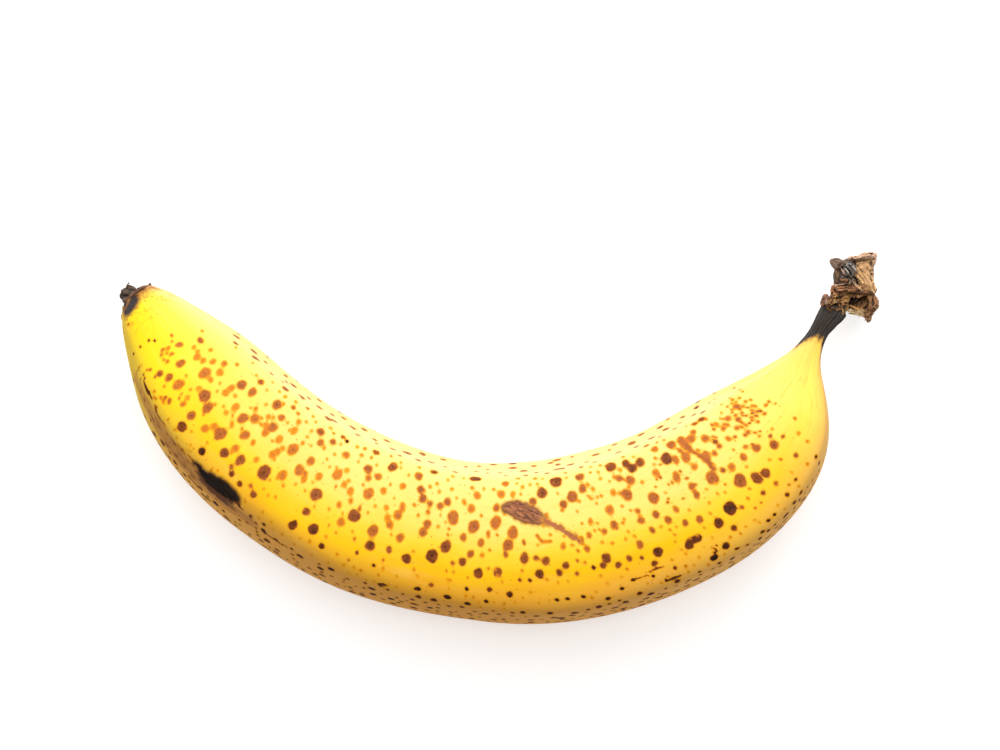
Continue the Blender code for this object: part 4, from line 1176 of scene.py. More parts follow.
    # wax: duller on marks, on the stem and toward the outer side
    dull_spots = w.spread(wavy, -0.1, 0.15, 0.0, 0.10)
    dull = w.maths("MAXIMUM", dull_spots, w.spread(bruise, -0.5, 0.5, 0.0, 0.28))
    matt = settings.roughness
    waxy = w.spread(streak_fine, 0.3, 0.7, matt - 0.04, matt + 0.05)
    rough = w.maths("ADD", waxy, dull)
    rough = w.maths("ADD", rough, w.times(stem, 0.14))
    rough = w.maths("ADD", rough, w.times(gold, 0.12))
    rough = w.maths("ADD", rough, w.times(w.number("outer_side"), 0.26), clamp=True)
    w.set("Roughness", rough)
    w.set("Specular IOR Level", 0.12)
    relief = w.maths("ADD", w.times(streak_fine, 0.35), w.times(fine, 0.25))
    relief = w.maths("ADD", relief, w.times(w.spread(wavy, -0.15, 0.2), -0.5))
    relief = w.maths("ADD", relief, w.times(stem, mottle, 1.4))
    relief = w.maths("ADD", relief, w.times(w.spread(scar, -0.2, 0.6), crinkle))
    w.bump(relief, 0.10, 0.7)
    return w.material


# ------------------------ crown

BARKS = {
    "husk": ((0.018, 0.014, 0.012), (0.130, 0.090, 0.065)),
    "charcoal": ((0.022, 0.018, 0.015), (0.085, 0.070, 0.058)),
    "horn": ((0.045, 0.028, 0.020), (0.255, 0.160, 0.110)),
    "plum": ((0.026, 0.013, 0.010), (0.250, 0.125, 0.078)),
    "leather": ((0.030, 0.017, 0.010), (0.190, 0.110, 0.062)),
    # The knot's light grey is partly painted sheen on the charcoal.
    "knot": ((0.012, 0.010, 0.009), (0.190, 0.165, 0.145)),
    "straw": ((0.130, 0.052, 0.018), (0.940, 0.580, 0.275)),
    "band": ((0.070, 0.032, 0.020), (0.720, 0.450, 0.300)),
    "ledge": ((0.014, 0.006, 0.004), (0.500, 0.225, 0.100)),
    "golden": ((0.020, 0.009, 0.004), (0.700, 0.370, 0.125)),
    # painted shade: this near-black bark stands for the shade in hollows and gaps of the crown
    "shaded_cavity": ((0.010, 0.006, 0.004), (0.070, 0.036, 0.018)),
    "cup": ((0.026, 0.012, 0.006), (0.440, 0.220, 0.100)),
    "rim": ((0.250, 0.120, 0.045), (0.800, 0.600, 0.330)),
    # painted sheen: this light grey bark draws thin sheen streaks over the knot, and one small light
    # speck on the crown
    "pale_speck_and_sheen": ((0.120, 0.095, 0.080), (0.500, 0.420, 0.355)),
}

# Torn lumps seen from above: bark, fibre heading, bottom and top height, outline.
# The darkest lumps, set in the hollows between the others, are painted shade.
CROWN_PADS = (
    ("golden", 55, 10.0, 16.2, (
        (77.2, 31.4), (78.6, 33.0), (82.0, 33.4), (83.0, 31.6), (82.4, 29.9), (81.2, 29.3),
        (79.6, 29.5), (78.2, 30.4),
    )),
    ("shaded_cavity", 20, 14.0, 16.9, (
        (79.3, 30.8), (79.5, 31.6), (80.8, 31.8), (81.4, 31.0), (80.6, 30.4),
    )),
    ("charcoal", 60, 9.6, 17.2, (
        (80.3, 27.8), (81.6, 28.1), (82.3, 28.8), (82.1, 29.8), (82.4, 30.8), (82.9, 31.6),
        (81.9, 31.6), (80.9, 30.4), (79.6, 29.0),
    )),
    ("plum", 40, 12.5, 18.4, (
        (76.6, 31.6), (77.0, 33.0), (77.6, 33.9), (78.2, 33.5), (78.7, 33.1), (79.2, 34.1),
        (80.2, 33.2), (80.2, 32.2), (78.6, 31.7), (77.4, 31.3),
    )),
    ("pale_speck_and_sheen", 60, 16.0, 18.6, (
        (77.6, 31.9), (77.7, 32.6), (78.0, 32.7), (78.2, 32.1), (77.9, 31.7),
    )),
    ("golden", 15, 11.0, 17.0, (
        (79.6, 32.2), (79.9, 34.0), (81.6, 34.7), (84.0, 34.6), (83.6, 33.4), (82.6, 32.4),
        (82.2, 31.5), (80.8, 31.6),
    )),
    ("ledge", 5, 11.5, 18.4, (
        (79.1, 34.5), (79.3, 35.7), (80.3, 36.2), (82.2, 36.4), (84.6, 36.0), (86.4, 35.6),
        (85.6, 34.9), (83.0, 34.6), (81.0, 34.2), (79.8, 34.0),
    )),
    ("ledge", 0, 10.0, 16.6, (
        (80.4, 34.0), (83.0, 34.8), (86.6, 35.2), (89.4, 34.8), (88.0, 33.9), (85.4, 33.8),
        (83.2, 33.6), (81.0, 33.2),
    )),
    ("shaded_cavity", 10, 13.0, 18.9, (
        (79.0, 33.3), (79.6, 33.9), (80.8, 33.9), (81.4, 33.5), (80.4, 33.2),
    )),
    ("shaded_cavity", 70, 12.0, 17.8, (
        (78.2, 30.9), (78.3, 31.6), (79.0, 32.0), (79.3, 31.2), (79.0, 30.3),
    )),
    ("shaded_cavity", 0, 12.0, 17.8, (
        (80.5, 30.4), (80.7, 31.0), (81.7, 31.1), (81.9, 30.5), (81.2, 30.1),
    )),
    ("shaded_cavity", 0, 12.0, 19.0, (
        (81.2, 35.0), (82.4, 35.4), (84.2, 35.3), (85.2, 34.9), (83.4, 34.8),
    )),
    ("charcoal", 60, 8.8, 16.8, (
        (80.2, 35.2), (80.0, 38.0), (80.6, 41.0), (83.4, 42.4), (87.6, 42.8), (88.6, 40.0),
        (88.8, 36.4), (86.4, 34.6), (82.6, 34.6),
    )),
    ("leather", 95, 11.4, 19.0, (
        (80.0, 40.2), (79.8, 39.0), (79.65, 37.6), (79.8, 36.4), (80.2, 36.0), (80.9, 36.6),
        (81.4, 38.2), (81.1, 39.8),
    )),
    ("horn", -12, 13.0, 19.4, (
        (78.7, 41.7), (78.85, 42.25), (79.4, 42.5), (80.5, 42.5), (81.6, 42.1), (82.8, 42.0),
        (82.4, 41.3), (81.4, 40.8), (80.6, 40.0), (79.9, 39.9), (79.2, 40.9),
    )),
    ("knot", 130, 13.0, 19.9, (
        (81.6, 39.4), (81.8, 41.0), (82.8, 41.9), (84.0, 41.6), (85.0, 40.4), (85.0, 38.8),
        (83.8, 37.9), (82.4, 37.8), (81.7, 38.4),
    )),
    ("knot", 20, 13.0, 18.7, (
        (81.0, 36.6), (81.2, 37.6), (82.4, 38.1), (83.8, 38.0), (84.8, 37.2), (84.6, 36.4),
        (82.8, 36.1),
    )),
    ("straw", -52, 9.6, 19.4, (
        (84.6, 41.6), (85.6, 42.6), (87.6, 42.9), (89.0, 42.4), (88.9, 40.6), (88.7, 38.6),
        (88.9, 36.8), (89.6, 35.1), (88.6, 34.7), (86.9, 34.9), (85.8, 36.2), (84.7, 38.0),
        (84.6, 40.0),
    )),
    ("band", 12, 12.0, 20.3, (
        (83.2, 42.2), (83.4, 42.8), (84.4, 42.95), (85.4, 43.0), (86.5, 43.5), (87.6, 43.85),
        (88.6, 43.75), (89.7, 43.6), (89.5, 42.9), (88.4, 42.6), (87.0, 42.6), (85.6, 42.2),
        (84.4, 42.1),
    )),
    ("band", 75, 11.0, 18.6, (
        (88.6, 43.0), (89.55, 42.6), (89.35, 41.4), (88.95, 40.4), (89.05, 38.8), (88.75, 37.4),
        (88.3, 38.0), (88.3, 40.6),
    )),
    ("cup", 60, 7.6, 12.2, (
        (82.6, 30.4), (82.8, 33.4), (85.0, 34.4), (88.4, 34.2), (89.6, 32.6), (89.2, 30.6),
        (87.6, 29.2), (85.0, 29.9),
    )),
    ("shaded_cavity", 0, 9.6, 12.9, (
        (82.9, 31.8), (82.9, 33.3), (84.6, 33.9), (86.3, 33.5), (85.4, 32.2), (84.0, 31.6),
    )),
    ("cup", 80, 7.8, 16.4, (
        (87.6, 34.2), (88.8, 34.2), (89.7, 33.2), (90.15, 32.2), (90.05, 31.1), (89.5, 30.3),
        (88.7, 30.0), (87.9, 30.6), (88.1, 31.8), (87.9, 33.0),
    )),
    ("cup", 60, 8.0, 14.4, (
        (88.9, 30.6), (88.8, 29.4), (88.2, 28.0), (87.85, 27.55), (87.5, 28.2), (86.8, 28.9),
        (87.0, 30.2), (87.8, 31.0),
    )),
)

# Torn edges drawn as thin ropes: bark, radius, points (x, y, z).
# The darkest ropes, laid in the gaps, are lines of painted shade, and the thin light grey ones over
# the knot are painted sheen.
CROWN_ROPES = (
    ("rim", 0.34, (
        (82.6, 30.4, 13.4), (83.6, 30.0, 14.2), (84.8, 29.7, 14.2), (86.0, 29.1, 13.8),
        (87.4, 28.6, 13.0),
    )),
    ("rim", 0.26, ((82.8, 29.6, 12.4), (84.0, 29.4, 13.0), (85.4, 29.1, 13.0), (86.6, 28.7, 12.6))),
    ("cup", 0.38, ((84.0, 29.3, 12.9), (84.5, 29.8, 12.3), (85.0, 30.7, 11.4))),
    ("cup", 0.38, ((86.2, 28.8, 12.6), (86.7, 29.4, 12.0), (87.0, 30.2, 11.2))),
    ("golden", 0.36, (
        (83.0, 31.2, 12.6), (84.6, 30.7, 13.0), (86.2, 30.3, 13.0), (87.6, 29.8, 12.4),
    )),
    ("golden", 0.30, (
        (82.7, 33.9, 15.8), (84.6, 34.0, 16.2), (86.4, 33.9, 16.2), (88.6, 34.3, 15.6),
    )),
    ("straw", 0.36, (
        (86.2, 34.9, 17.4), (87.4, 34.5, 17.6), (88.8, 34.6, 17.2), (89.7, 34.7, 16.6),
    )),
    ("band", 0.30, (
        (84.0, 37.4, 18.9), (84.8, 36.4, 18.9), (85.6, 35.5, 18.5), (86.4, 34.8, 18.0),
    )),
    ("band", 0.15, (
        (81.0, 40.6, 19.7), (81.6, 39.6, 20.1), (82.2, 38.6, 19.9), (82.7, 37.7, 19.2),
    )),
    # painted sheen: thin light grey streaks over the knot
    ("pale_speck_and_sheen", 0.13, (
        (82.6, 41.2, 19.9), (83.3, 40.2, 20.2), (83.7, 39.2, 20.2), (84.5, 38.6, 19.9),
    )),
    ("pale_speck_and_sheen", 0.12, (
        (83.4, 41.4, 19.9), (84.2, 40.6, 20.1), (84.9, 39.8, 19.9), (85.3, 39.4, 19.5),
    )),
    ("pale_speck_and_sheen", 0.11, ((82.4, 40.2, 20.1), (83.0, 39.4, 20.3), (83.4, 38.4, 20.1))),
    ("knot", 0.20, (
        (81.3, 38.4, 19.2), (82.0, 37.9, 19.4), (83.1, 38.0, 19.5), (84.2, 38.4, 19.3),
    )),
    ("horn", 0.34, ((80.7, 40.2, 19.2), (81.4, 40.9, 19.7), (82.6, 41.6, 19.8))),
    ("horn", 0.28, ((80.9, 37.1, 18.3), (81.6, 37.9, 18.9), (82.7, 38.2, 19.1))),
    ("band", 0.26, ((80.0, 36.1, 18.5), (81.4, 36.2, 18.8), (82.6, 36.4, 18.8))),
    ("ledge", 0.30, ((81.2, 37.2, 18.8), (82.2, 37.4, 19.0), (82.9, 37.1, 18.8))),
    ("rim", 0.26, ((79.3, 31.9, 18.0), (80.0, 32.1, 18.2), (80.7, 32.6, 18.0))),
    ("golden", 0.30, ((78.2, 31.0, 16.9), (79.0, 31.3, 17.2), (79.4, 30.9, 17.0))),
    ("golden", 0.30, ((79.5, 29.9, 16.9), (80.3, 29.4, 17.0), (81.0, 29.8, 16.9))),
    ("ledge", 0.30, ((81.2, 31.7, 17.2), (82.0, 31.7, 17.4), (82.9, 31.3, 17.0))),
    ("band", 0.30, (
        (83.4, 42.6, 20.1), (84.6, 42.7, 20.5), (86.0, 42.9, 20.6), (87.4, 43.3, 20.4),
    )),
    ("shaded_cavity", 0.22, ((84.3, 42.35, 20.1), (85.4, 42.5, 20.4), (86.6, 42.8, 20.3))),
    ("shaded_cavity", 0.34, (
        (79.6, 35.3, 18.8), (81.2, 34.9, 19.2), (83.0, 35.3, 19.3), (85.2, 34.9, 19.1),
    )),
    ("shaded_cavity", 0.38, ((79.0, 33.5, 18.5), (80.2, 33.8, 18.8), (81.8, 33.5, 18.5))),
    ("shaded_cavity", 0.36, ((78.1, 30.5, 17.5), (78.5, 31.5, 18.0), (79.4, 32.2, 18.4))),
    ("shaded_cavity", 0.36, ((80.3, 30.1, 17.5), (80.9, 31.0, 17.9), (81.9, 31.1, 17.6))),
    ("shaded_cavity", 0.26, (
        (83.4, 34.2, 17.4), (85.4, 34.4, 18.2), (87.4, 34.2, 18.2), (89.0, 34.5, 17.4),
    )),
    ("shaded_cavity", 0.24, (
        (80.2, 36.7, 18.9), (81.2, 36.9, 19.1), (82.6, 36.8, 19.1), (84.0, 36.2, 19.0),
    )),
    ("shaded_cavity", 0.22, ((88.3, 37.6, 19.0), (88.2, 39.4, 19.4), (88.4, 41.6, 19.6))),
)
CROWN_SEED = 77
CROWN_VOXEL = 0.12
# Points in the smallest loose island that stays.
SMALLEST_ISLAND = 300
# Torn flakes laid on one lump of each bark.
FLAKES = {
    "golden": 16, "ledge": 22, "cup": 16, "band": 10, "straw": 14, "plum": 8, "knot": 6,
    "charcoal": 0, "horn": 0, "leather": 1, "shaded_cavity": 5, "pale_speck_and_sheen": 0, "rim": 4,
}
# How strongly the surface of each bark is ridged.
RIDGING = {
    "golden": 1.15, "ledge": 1.3, "cup": 1.0, "band": 0.95, "straw": 0.9, "plum": 0.9,
    "knot": 0.75, "charcoal": 0.5, "horn": 0.45, "leather": 0.5, "shaded_cavity": 1.0, "pale_speck_and_sheen": 0.6,
    "rim": 0.8,
}
# Rings of a lump: share of its height, and share of its outline.
PAD_LEVELS = ((0.0, 0.50), (0.10, 0.84), (0.26, 1.0), (0.74, 1.0), (0.90, 0.90), (1.0, 0.62))
PAD_TILT = 0.12
# Rings of a flake: place along its length, and share of its width.
FLAKE_RINGS = ((-0.5, 0.25), (-0.3, 0.8), (0.0, 1.0), (0.3, 0.85), (0.5, 0.2))
FLAKE_SIDES = 8
# Range of a flake's length, width and thickness.
FLAKE_SIZES = ((0.8, 2.0), (0.3, 0.75), (0.18, 0.3))
FLAKE_TURN = 26
FLAKE_PITCHES = (-0.35, 0.45)
# Crown relief in millimetres: fibre ridges, fine ridges and grit on a fully ridged bark,
# and lumps everywhere.
RIDGE_HEIGHT = 0.34
FINE_RIDGE_HEIGHT = 0.19
GRIT_HEIGHT = 0.15
LUMP_HEIGHT = 0.26
# Scale of the fibre noise along each lump's heading and up the crown.
FIBRE_STRETCH = 0.15
FIBRE_RISE = 0.8
RIDGE_SHAPE = 2.6
# Painted shade in crevices and painted highlight on proud edges: share of each measure of how proud
# a point stands, and its smoothing rounds.
PROUDNESS = ((0.55, 10), (0.45, 45))


def rounded_outline(outline, pieces=5):
    """Closed smooth loop through plan points."""
    points = np.array(outline, float)
    loop = []
    for k in range(len(points)):
        a, b, c, d = (points[(k + n) % len(points)] for n in (-1, 0, 1, 2))
        for t in np.arange(pieces) / pieces:
            bend = 2 * b + (c - a) * t + (2 * a - 5 * b + 4 * c - d) * t ** 2
            loop.append((bend + (3 * b - a - 3 * c + d) * t ** 3) / 2)
    return np.array(loop)


def ring_solid(bm, rings):
    """Closed solid through rings of equal length."""
    levels = [[bm.verts.new(p) for p in ring] for ring in rings]
    count = len(levels[0])
    for low, high in zip(levels, levels[1:]):
        for j in range(count):
            k = (j + 1) % count
            bm.faces.new((low[j], low[k], high[k], high[j]))
    for ring, flip in ((levels[0], True), (levels[-1], False)):
        middle = bm.verts.new(sum((v.co for v in ring), Vector()) / count)
        for j in range(count):
            a, b = ring[j], ring[(j + 1) % count]
            bm.faces.new((b, a, middle) if flip else (a, b, middle))


def carried(x, y, z):
    """A layout position carried to its height along the line to the layout eye."""
    eye_x, eye_y, eye_z = LAYOUT_EYE
    share = (eye_z - z) / (eye_z - LAYOUT_LEVEL)
    return (eye_x + (x - eye_x) * share, eye_y + (y - eye_y) * share, z)


def flake_rings(place, turn, pitch, length, width, thick):
    """Rings of a thin torn flake, pointed at both ends."""
    level = math.cos(pitch)
    ahead = np.array((math.cos(turn) * level, math.sin(turn) * level, math.sin(pitch)))
    side = np.array((-math.sin(turn), math.cos(turn), 0.0))
    up = np.cross(ahead, side)
    rings = []
    for step, share in FLAKE_RINGS:
        ring = []
        for angle in 2 * np.pi * np.arange(FLAKE_SIDES) / FLAKE_SIDES:
            out = side * math.cos(angle) * width / 2 * share + up * math.sin(angle) * thick / 2
            ring.append(tuple(place + ahead * length * step + out))
        rings.append(ring)
    return rings


def pad_rings(outline, low, high, tilt):
    """Rings of a lump with rounded shoulders and a slightly tilted top."""
    loop = rounded_outline(outline)
    middle = loop.mean(axis=0)
    rings = []
    for share, inset in PAD_LEVELS:
        plan = middle + (loop - middle) * inset
        lean = (plan - middle) @ tilt * share
        height = low + (high - low) * share + lean
        rings.append([carried(x, y, z) for (x, y), z in zip(plan.tolist(), height.tolist())])
    return rings


def rope_rings(points, radius, sides=8, taper=0.35):
    """Rings of a bent rod that thins toward both ends."""
    points = np.array([carried(*point) for point in points])
    places = np.linspace(0, 1, len(points))
    steps = np.linspace(0, 1, 4 * len(points))
    line = np.stack([np.interp(steps, places, points[:, n]) for n in range(3)], axis=1)
    for _ in range(2):
        line[1:-1] = (line[:-2] + 2 * line[1:-1] + line[2:]) / 4
    ahead = np.gradient(line, axis=0)
    ahead /= np.linalg.norm(ahead, axis=1, keepdims=True)
    rings = []
    turns = 2 * np.pi * np.arange(sides) / sides
    for place, way, share in zip(line, ahead, steps):
        side = np.cross(way, (0.0, 0.0, 1.0))
        side = side / max(np.linalg.norm(side), 1e-6)
        up = np.cross(side, way)
        swell = math.sin(math.pi * min(max(share, 0.02), 0.98)) ** 0.5
        thick = radius * (taper + (1 - taper) * swell)
        ring = place + thick * (np.cos(turns)[:, None] * side + np.sin(turns)[:, None] * up)
        rings.append(ring.tolist())
    return rings


class CrownBlank:
    """Overlapping solids in millimetres, with the bark and heading that each point lends."""

    def __init__(self):
        self.bm = bmesh.new()
        self.places = []
        self.barks = []
        self.headings = []

    def add(self, rings, bark, heading, extra=()):
        """A solid through rings; extra points widen the area that takes its bark."""
        ring_solid(self.bm, rings)
        found = [tuple(p) for ring in rings for p in ring] + [tuple(p) for p in extra]
        self.places += found
        self.barks += [bark] * len(found)
        self.headings += [heading] * len(found)

    def add_flakes(self, rings, bark, heading, rng):
        """Seeded torn flakes lying on the top of one lump."""
        middle = np.mean(rings[-1], axis=0)
        loop = np.array(rings[-2])
        for _ in range(FLAKES[bark]):
            edge = loop[rng.integers(len(loop))]
            place = middle + (edge - middle) * math.sqrt(rng.uniform(0.02, 1.1))
            place[2] = middle[2] + (edge[2] - middle[2]) * 0.6 + rng.uniform(-0.15, 0.35)
            turn = math.radians(heading + rng.normal(0, FLAKE_TURN))
            pitch = rng.uniform(*FLAKE_PITCHES)
            size = [rng.uniform(*extent) for extent in FLAKE_SIZES]
            self.add(flake_rings(place, turn, pitch, *size), bark, math.degrees(turn))

    def mesh(self):
        bmesh.ops.recalc_face_normals(self.bm, faces=self.bm.faces)
        mesh = bpy.data.meshes.new("crown_blank")
        self.bm.to_mesh(mesh)
        self.bm.free()
        return mesh


def crown_blank():
    """The crown's lumps, flakes and ropes before they are fused into one skin."""
    rng = np.random.default_rng(CROWN_SEED)
    blank = CrownBlank()
    for bark, heading, low, high, outline in CROWN_PADS:
        tilt = rng.uniform(-PAD_TILT, PAD_TILT, 2)
        rings = pad_rings(outline, low, high, tilt)
        middle = np.mean(rings[-1], axis=0)
        top = [middle + (np.array(p) - middle) * s for p in rings[-1] for s in (0.0, 0.35, 0.7)]
        blank.add(rings, bark, heading, top)
        blank.add_flakes(rings, bark, heading, rng)
    for bark, radius, points in CROWN_ROPES:
        ahead = np.array(points[-1]) - np.array(points[0])
        heading = math.degrees(math.atan2(ahead[1], ahead[0]))
        blank.add(rope_rings(points, radius), bark, heading)
    return blank


def fused(mesh, voxel):
    """One closed skin round overlapping solids, with its voxel steps smoothed."""
    blank = linked("crown_blank", mesh)
    skin = blank.modifiers.new("skin", "REMESH")
    skin.mode = "VOXEL"
    skin.voxel_size = voxel
    soften = blank.modifiers.new("soften", "SMOOTH")
    soften.factor = 0.5
    soften.iterations = 3
    graph = bpy.context.evaluated_depsgraph_get()
    made = bpy.data.meshes.new_from_object(blank.evaluated_get(graph))
    bpy.data.objects.remove(blank)
    bpy.data.meshes.remove(mesh)
    return made


def drop_specks(mesh, smallest):
    """Takes away every loose island with fewer points than the smallest kept."""
    bm = bmesh.new()
    bm.from_mesh(mesh)
    seen = set()
    specks = []
    for start in bm.verts:
        if start.index in seen:
            continue
        seen.add(start.index)
        island = [start]
        for vert in island:
            for edge in vert.link_edges:
                other = edge.other_vert(vert)
                if other.index not in seen:
                    seen.add(other.index)
                    island.append(other)
        if len(island) < smallest:
            specks += island
    bmesh.ops.delete(bm, geom=specks, context="VERTS")
    bm.to_mesh(mesh)
    bm.free()


def mesh_points(mesh):
    values = np.empty(len(mesh.vertices) * 3)
    mesh.vertices.foreach_get("co", values)
    return values.reshape(-1, 3)


def mesh_normals(mesh):
    values = np.empty(len(mesh.vertices) * 3)
    mesh.vertex_normals.foreach_get("vector", values)
    return values.reshape(-1, 3)


def move_points(mesh, points):
    mesh.vertices.foreach_set("co", points.ravel())
    mesh.update()


def give_bark(mesh, fibre, crevice_shade_and_edge_light, dark, light):
    """Stores what the bark material reads: fibre direction, the value for painted shade in crevices
    and painted highlight on edges, and two colours.
    """
    give(mesh, "fibre_space", fibre)
    give(mesh, "crevice_shade_and_edge_light", crevice_shade_and_edge_light)
    give(mesh, "bark_dark", dark)
    give(mesh, "bark_light", light)


def neighbour_mean(mesh, values, rounds):
    """Values on the points of a mesh, averaged over their neighbours some rounds."""
    pairs = np.empty(len(mesh.edges) * 2, int)
    mesh.edges.foreach_get("vertices", pairs)
    first, second = pairs.reshape(-1, 2).T
    count = np.bincount(pairs, minlength=len(values))[:, None]
    for _ in range(rounds):
        total = np.empty_like(values)
        for axis in range(values.shape[1]):
            total[:, axis] = np.bincount(first, values[second, axis], len(values))
            total[:, axis] += np.bincount(second, values[first, axis], len(values))
        values = total / count
    return values


def proudness(mesh, points, rounds):
    """How far each point stands out of its surroundings, from about -2 to 2."""
    around = neighbour_mean(mesh, points, rounds)
    height = np.einsum("ij,ij->i", points - around, mesh_normals(mesh))
    return np.clip(height / height.std(), -2.5, 2.5)


def crown_piece():
    """The dried torn crown: fused lumps with fibre ridges along each lump's heading."""
    blank = crown_blank()
    mesh = fused(blank.mesh(), CROWN_VOXEL)
    drop_specks(mesh, SMALLEST_ISLAND)
    mesh.name = "crown"
    points = mesh_points(mesh)
    tree = kdtree.KDTree(len(blank.places))
    for i, p in enumerate(blank.places):
        tree.insert(p, i)
    tree.balance()
    owner = np.array([tree.find(p)[1] for p in points.tolist()])
    turn = np.radians(np.array(blank.headings)[owner])
    along = points[:, 0] * np.cos(turn) + points[:, 1] * np.sin(turn)
    across = points[:, 1] * np.cos(turn) - points[:, 0] * np.sin(turn)
    fibre = np.stack((along * FIBRE_STRETCH, across, points[:, 2] * FIBRE_RISE), axis=1)
    ridged = 1 - RIDGE_SHAPE * np.abs(cloud(fibre, 0.85, 11))
    fine = 1 - RIDGE_SHAPE * np.abs(cloud(fibre, 0.42, 12))
    lumps = cloud(points, 1.5, 13)
    grit = cloud(points, 0.38, 14)
    strength = np.array([RIDGING[blank.barks[i]] for i in owner])
    relief = strength * (RIDGE_HEIGHT * ridged + FINE_RIDGE_HEIGHT * fine + GRIT_HEIGHT * grit)
    relief = relief + LUMP_HEIGHT * lumps - LUMP_HEIGHT * strength
    points = points + mesh_normals(mesh) * relief[:, None]
    move_points(mesh, points)
    proud = sum(share * proudness(mesh, points, rounds) for share, rounds in PROUDNESS)
    move_points(mesh, points * MM)
    shade_smooth(mesh)
    dark, light = (
        neighbour_mean(mesh, np.array([BARKS[blank.barks[i]][n] for i in owner]), 3)
        for n in (0, 1)
    )
    # The value stored from the fibre ridges and from how proud each point stands sets the painted
    # shade in crevices and the painted highlight on edges.
    give_bark(mesh, fibre, 0.35 * ridged + 0.25 * fine + 0.55 * proud, dark, light)
    return linked("crown", mesh)


# Beds of loose fibres: bark, count, heading, spread of heading, length, plan corners.
FIBRE_BEDS = (
    ("straw", 210, -52, 12, 2.8, ((84.9, 35.2), (89.0, 42.4))),
    ("band", 60, 14, 16, 1.8, ((83.6, 42.0), (89.4, 43.6))),
    ("golden", 60, 10, 34, 1.5, ((79.4, 32.0), (84.0, 34.4))),
    ("ledge", 70, 4, 26, 1.8, ((79.4, 34.0), (87.4, 36.2))),
    ("rim", 50, -22, 18, 1.9, ((82.9, 28.9), (87.4, 30.6))),
    ("cup", 60, 80, 24, 1.8, ((87.4, 29.0), (89.8, 33.8))),
    ("golden", 34, 62, 22, 2.0, ((83.0, 30.4), (87.8, 33.8))),
    ("golden", 36, -20, 45, 1.2, ((77.6, 29.4), (82.2, 32.6))),
    ("ledge", 24, 30, 50, 1.1, ((77.2, 31.6), (80.4, 34.0))),
    ("knot", 20, 130, 40, 1.2, ((81.6, 38.0), (84.6, 41.2))),
    ("straw", 14, -45, 25, 1.6, ((83.2, 36.4), (85.4, 39.0))),
    ("horn", 10, 70, 25, 1.2, ((79.4, 36.6), (81.0, 41.8))),
)
FIBRE_SIDES = 6
FIBRE_POINTS = 6
# A fibre with fewer points on the crown, or one that drops further than this, is left out.
FEWEST_POINTS = 5
STEEPEST_DROP = 1.6


def fibre_piece(crown):
    """Loose torn fibres lying on the crown, each one a thin closed splinter."""
    rng = np.random.default_rng(CROWN_SEED + 1)
    tree = bvhtree.BVHTree.FromPolygons(
        [v.co / MM for v in crown.data.vertices],
        [tuple(p.vertices) for p in crown.data.polygons],
    )
    bm = bmesh.new()
    dark, light = [], []
    for bark, count, heading, spread, length, (low, high) in FIBRE_BEDS:
        for _ in range(count):
            points, radius = fibre_line(tree, heading, spread, length, low, high, rng)
            if len(points) < FEWEST_POINTS:
                continue
            heights = [p[2] for p in points]
            if max(heights) - min(heights) > STEEPEST_DROP:
                continue
            for end, rise in zip((0, -1), rng.uniform(0.0, 0.3, 2)):
                x, y, z = points[end]
                points[end] = (x, y, z + rise)
            rings = rope_rings(points, radius, sides=FIBRE_SIDES, taper=0.2)
            ring_solid(bm, rings)
            shade = rng.uniform(0.5, 1.15)
            size = len(rings) * FIBRE_SIDES + 2
            dark += [tuple(np.array(BARKS[bark][0]) * shade)] * size
            light += [tuple(np.array(BARKS[bark][1]) * shade)] * size
    bmesh.ops.recalc_face_normals(bm, faces=bm.faces)
    for v in bm.verts:
        v.co *= MM
    mesh = bpy.data.meshes.new("crown_fibres")
    bm.to_mesh(mesh)
    bm.free()
    shade_smooth(mesh)
    points = mesh_points(mesh) / MM
    # Every fibre takes the same value for the painted shade and highlight: a little lit, never
    # shaded.
    give_bark(mesh, points * 0.5, np.full(len(points), 0.8), np.array(dark), np.array(light))
    return linked("crown_fibres", mesh)


def fibre_line(tree, heading, spread, length, low, high, rng):
    """Points of one curled fibre laid on the crown from above, and its radius."""
    x, y = rng.uniform(low, high)
    turn = math.radians(heading + rng.normal(0, spread))
    reach = length * rng.uniform(0.5, 1.3)
    curl = rng.normal(0, 0.25)
    radius = rng.uniform(0.05, 0.15)
    points = []
    for t in np.linspace(-0.5, 0.5, FIBRE_POINTS):
        bend = turn + curl * t
        px = x + math.cos(bend) * reach * t
        py = y + math.sin(bend) * reach * t
        hit = tree.ray_cast(Vector((px, py, 40)), Vector((0, 0, -1)))[0]
        if hit is None:
            break
        points.append((px, py, hit.z + radius * 0.3))
    return points, radius


# Dried flower remnant: radius, points (x, y, z).
BLOSSOM_PEGS = (
    (0.85, ((-86.2, 34.4, 14.8), (-87.8, 34.4, 15.4), (-89.7, 34.6, 15.6))),
    (0.75, ((-86.8, 33.6, 14.0), (-88.4, 33.5, 14.4), (-89.9, 33.6, 14.4))),
    (0.70, ((-87.0, 33.0, 15.4), (-88.2, 32.8, 15.7), (-89.3, 32.6, 15.8))),
    (0.75, ((-86.2, 35.0, 14.6), (-87.4, 35.4, 15.2), (-88.3, 36.0, 15.6))),
    (0.62, ((-87.0, 33.4, 13.2), (-88.6, 33.0, 12.8), (-89.5, 33.2, 12.4))),
    (0.60, ((-86.6, 34.4, 13.2), (-88.1, 34.9, 12.8), (-89.0, 35.2, 12.6))),
    (0.15, ((-87.9, 35.4, 15.8), (-88.15, 36.1, 16.4), (-87.95, 36.75, 16.6), (-87.6, 36.6, 16.4))),
)


# The curled lip stands this far along the fruit, with a ring at every third skin point.
LIP_AT = 0.25
LIP_STRIDE = 3
LIP_SIDES = 10
LIP_RADIUS = 0.38
LIP_WAVES = 4


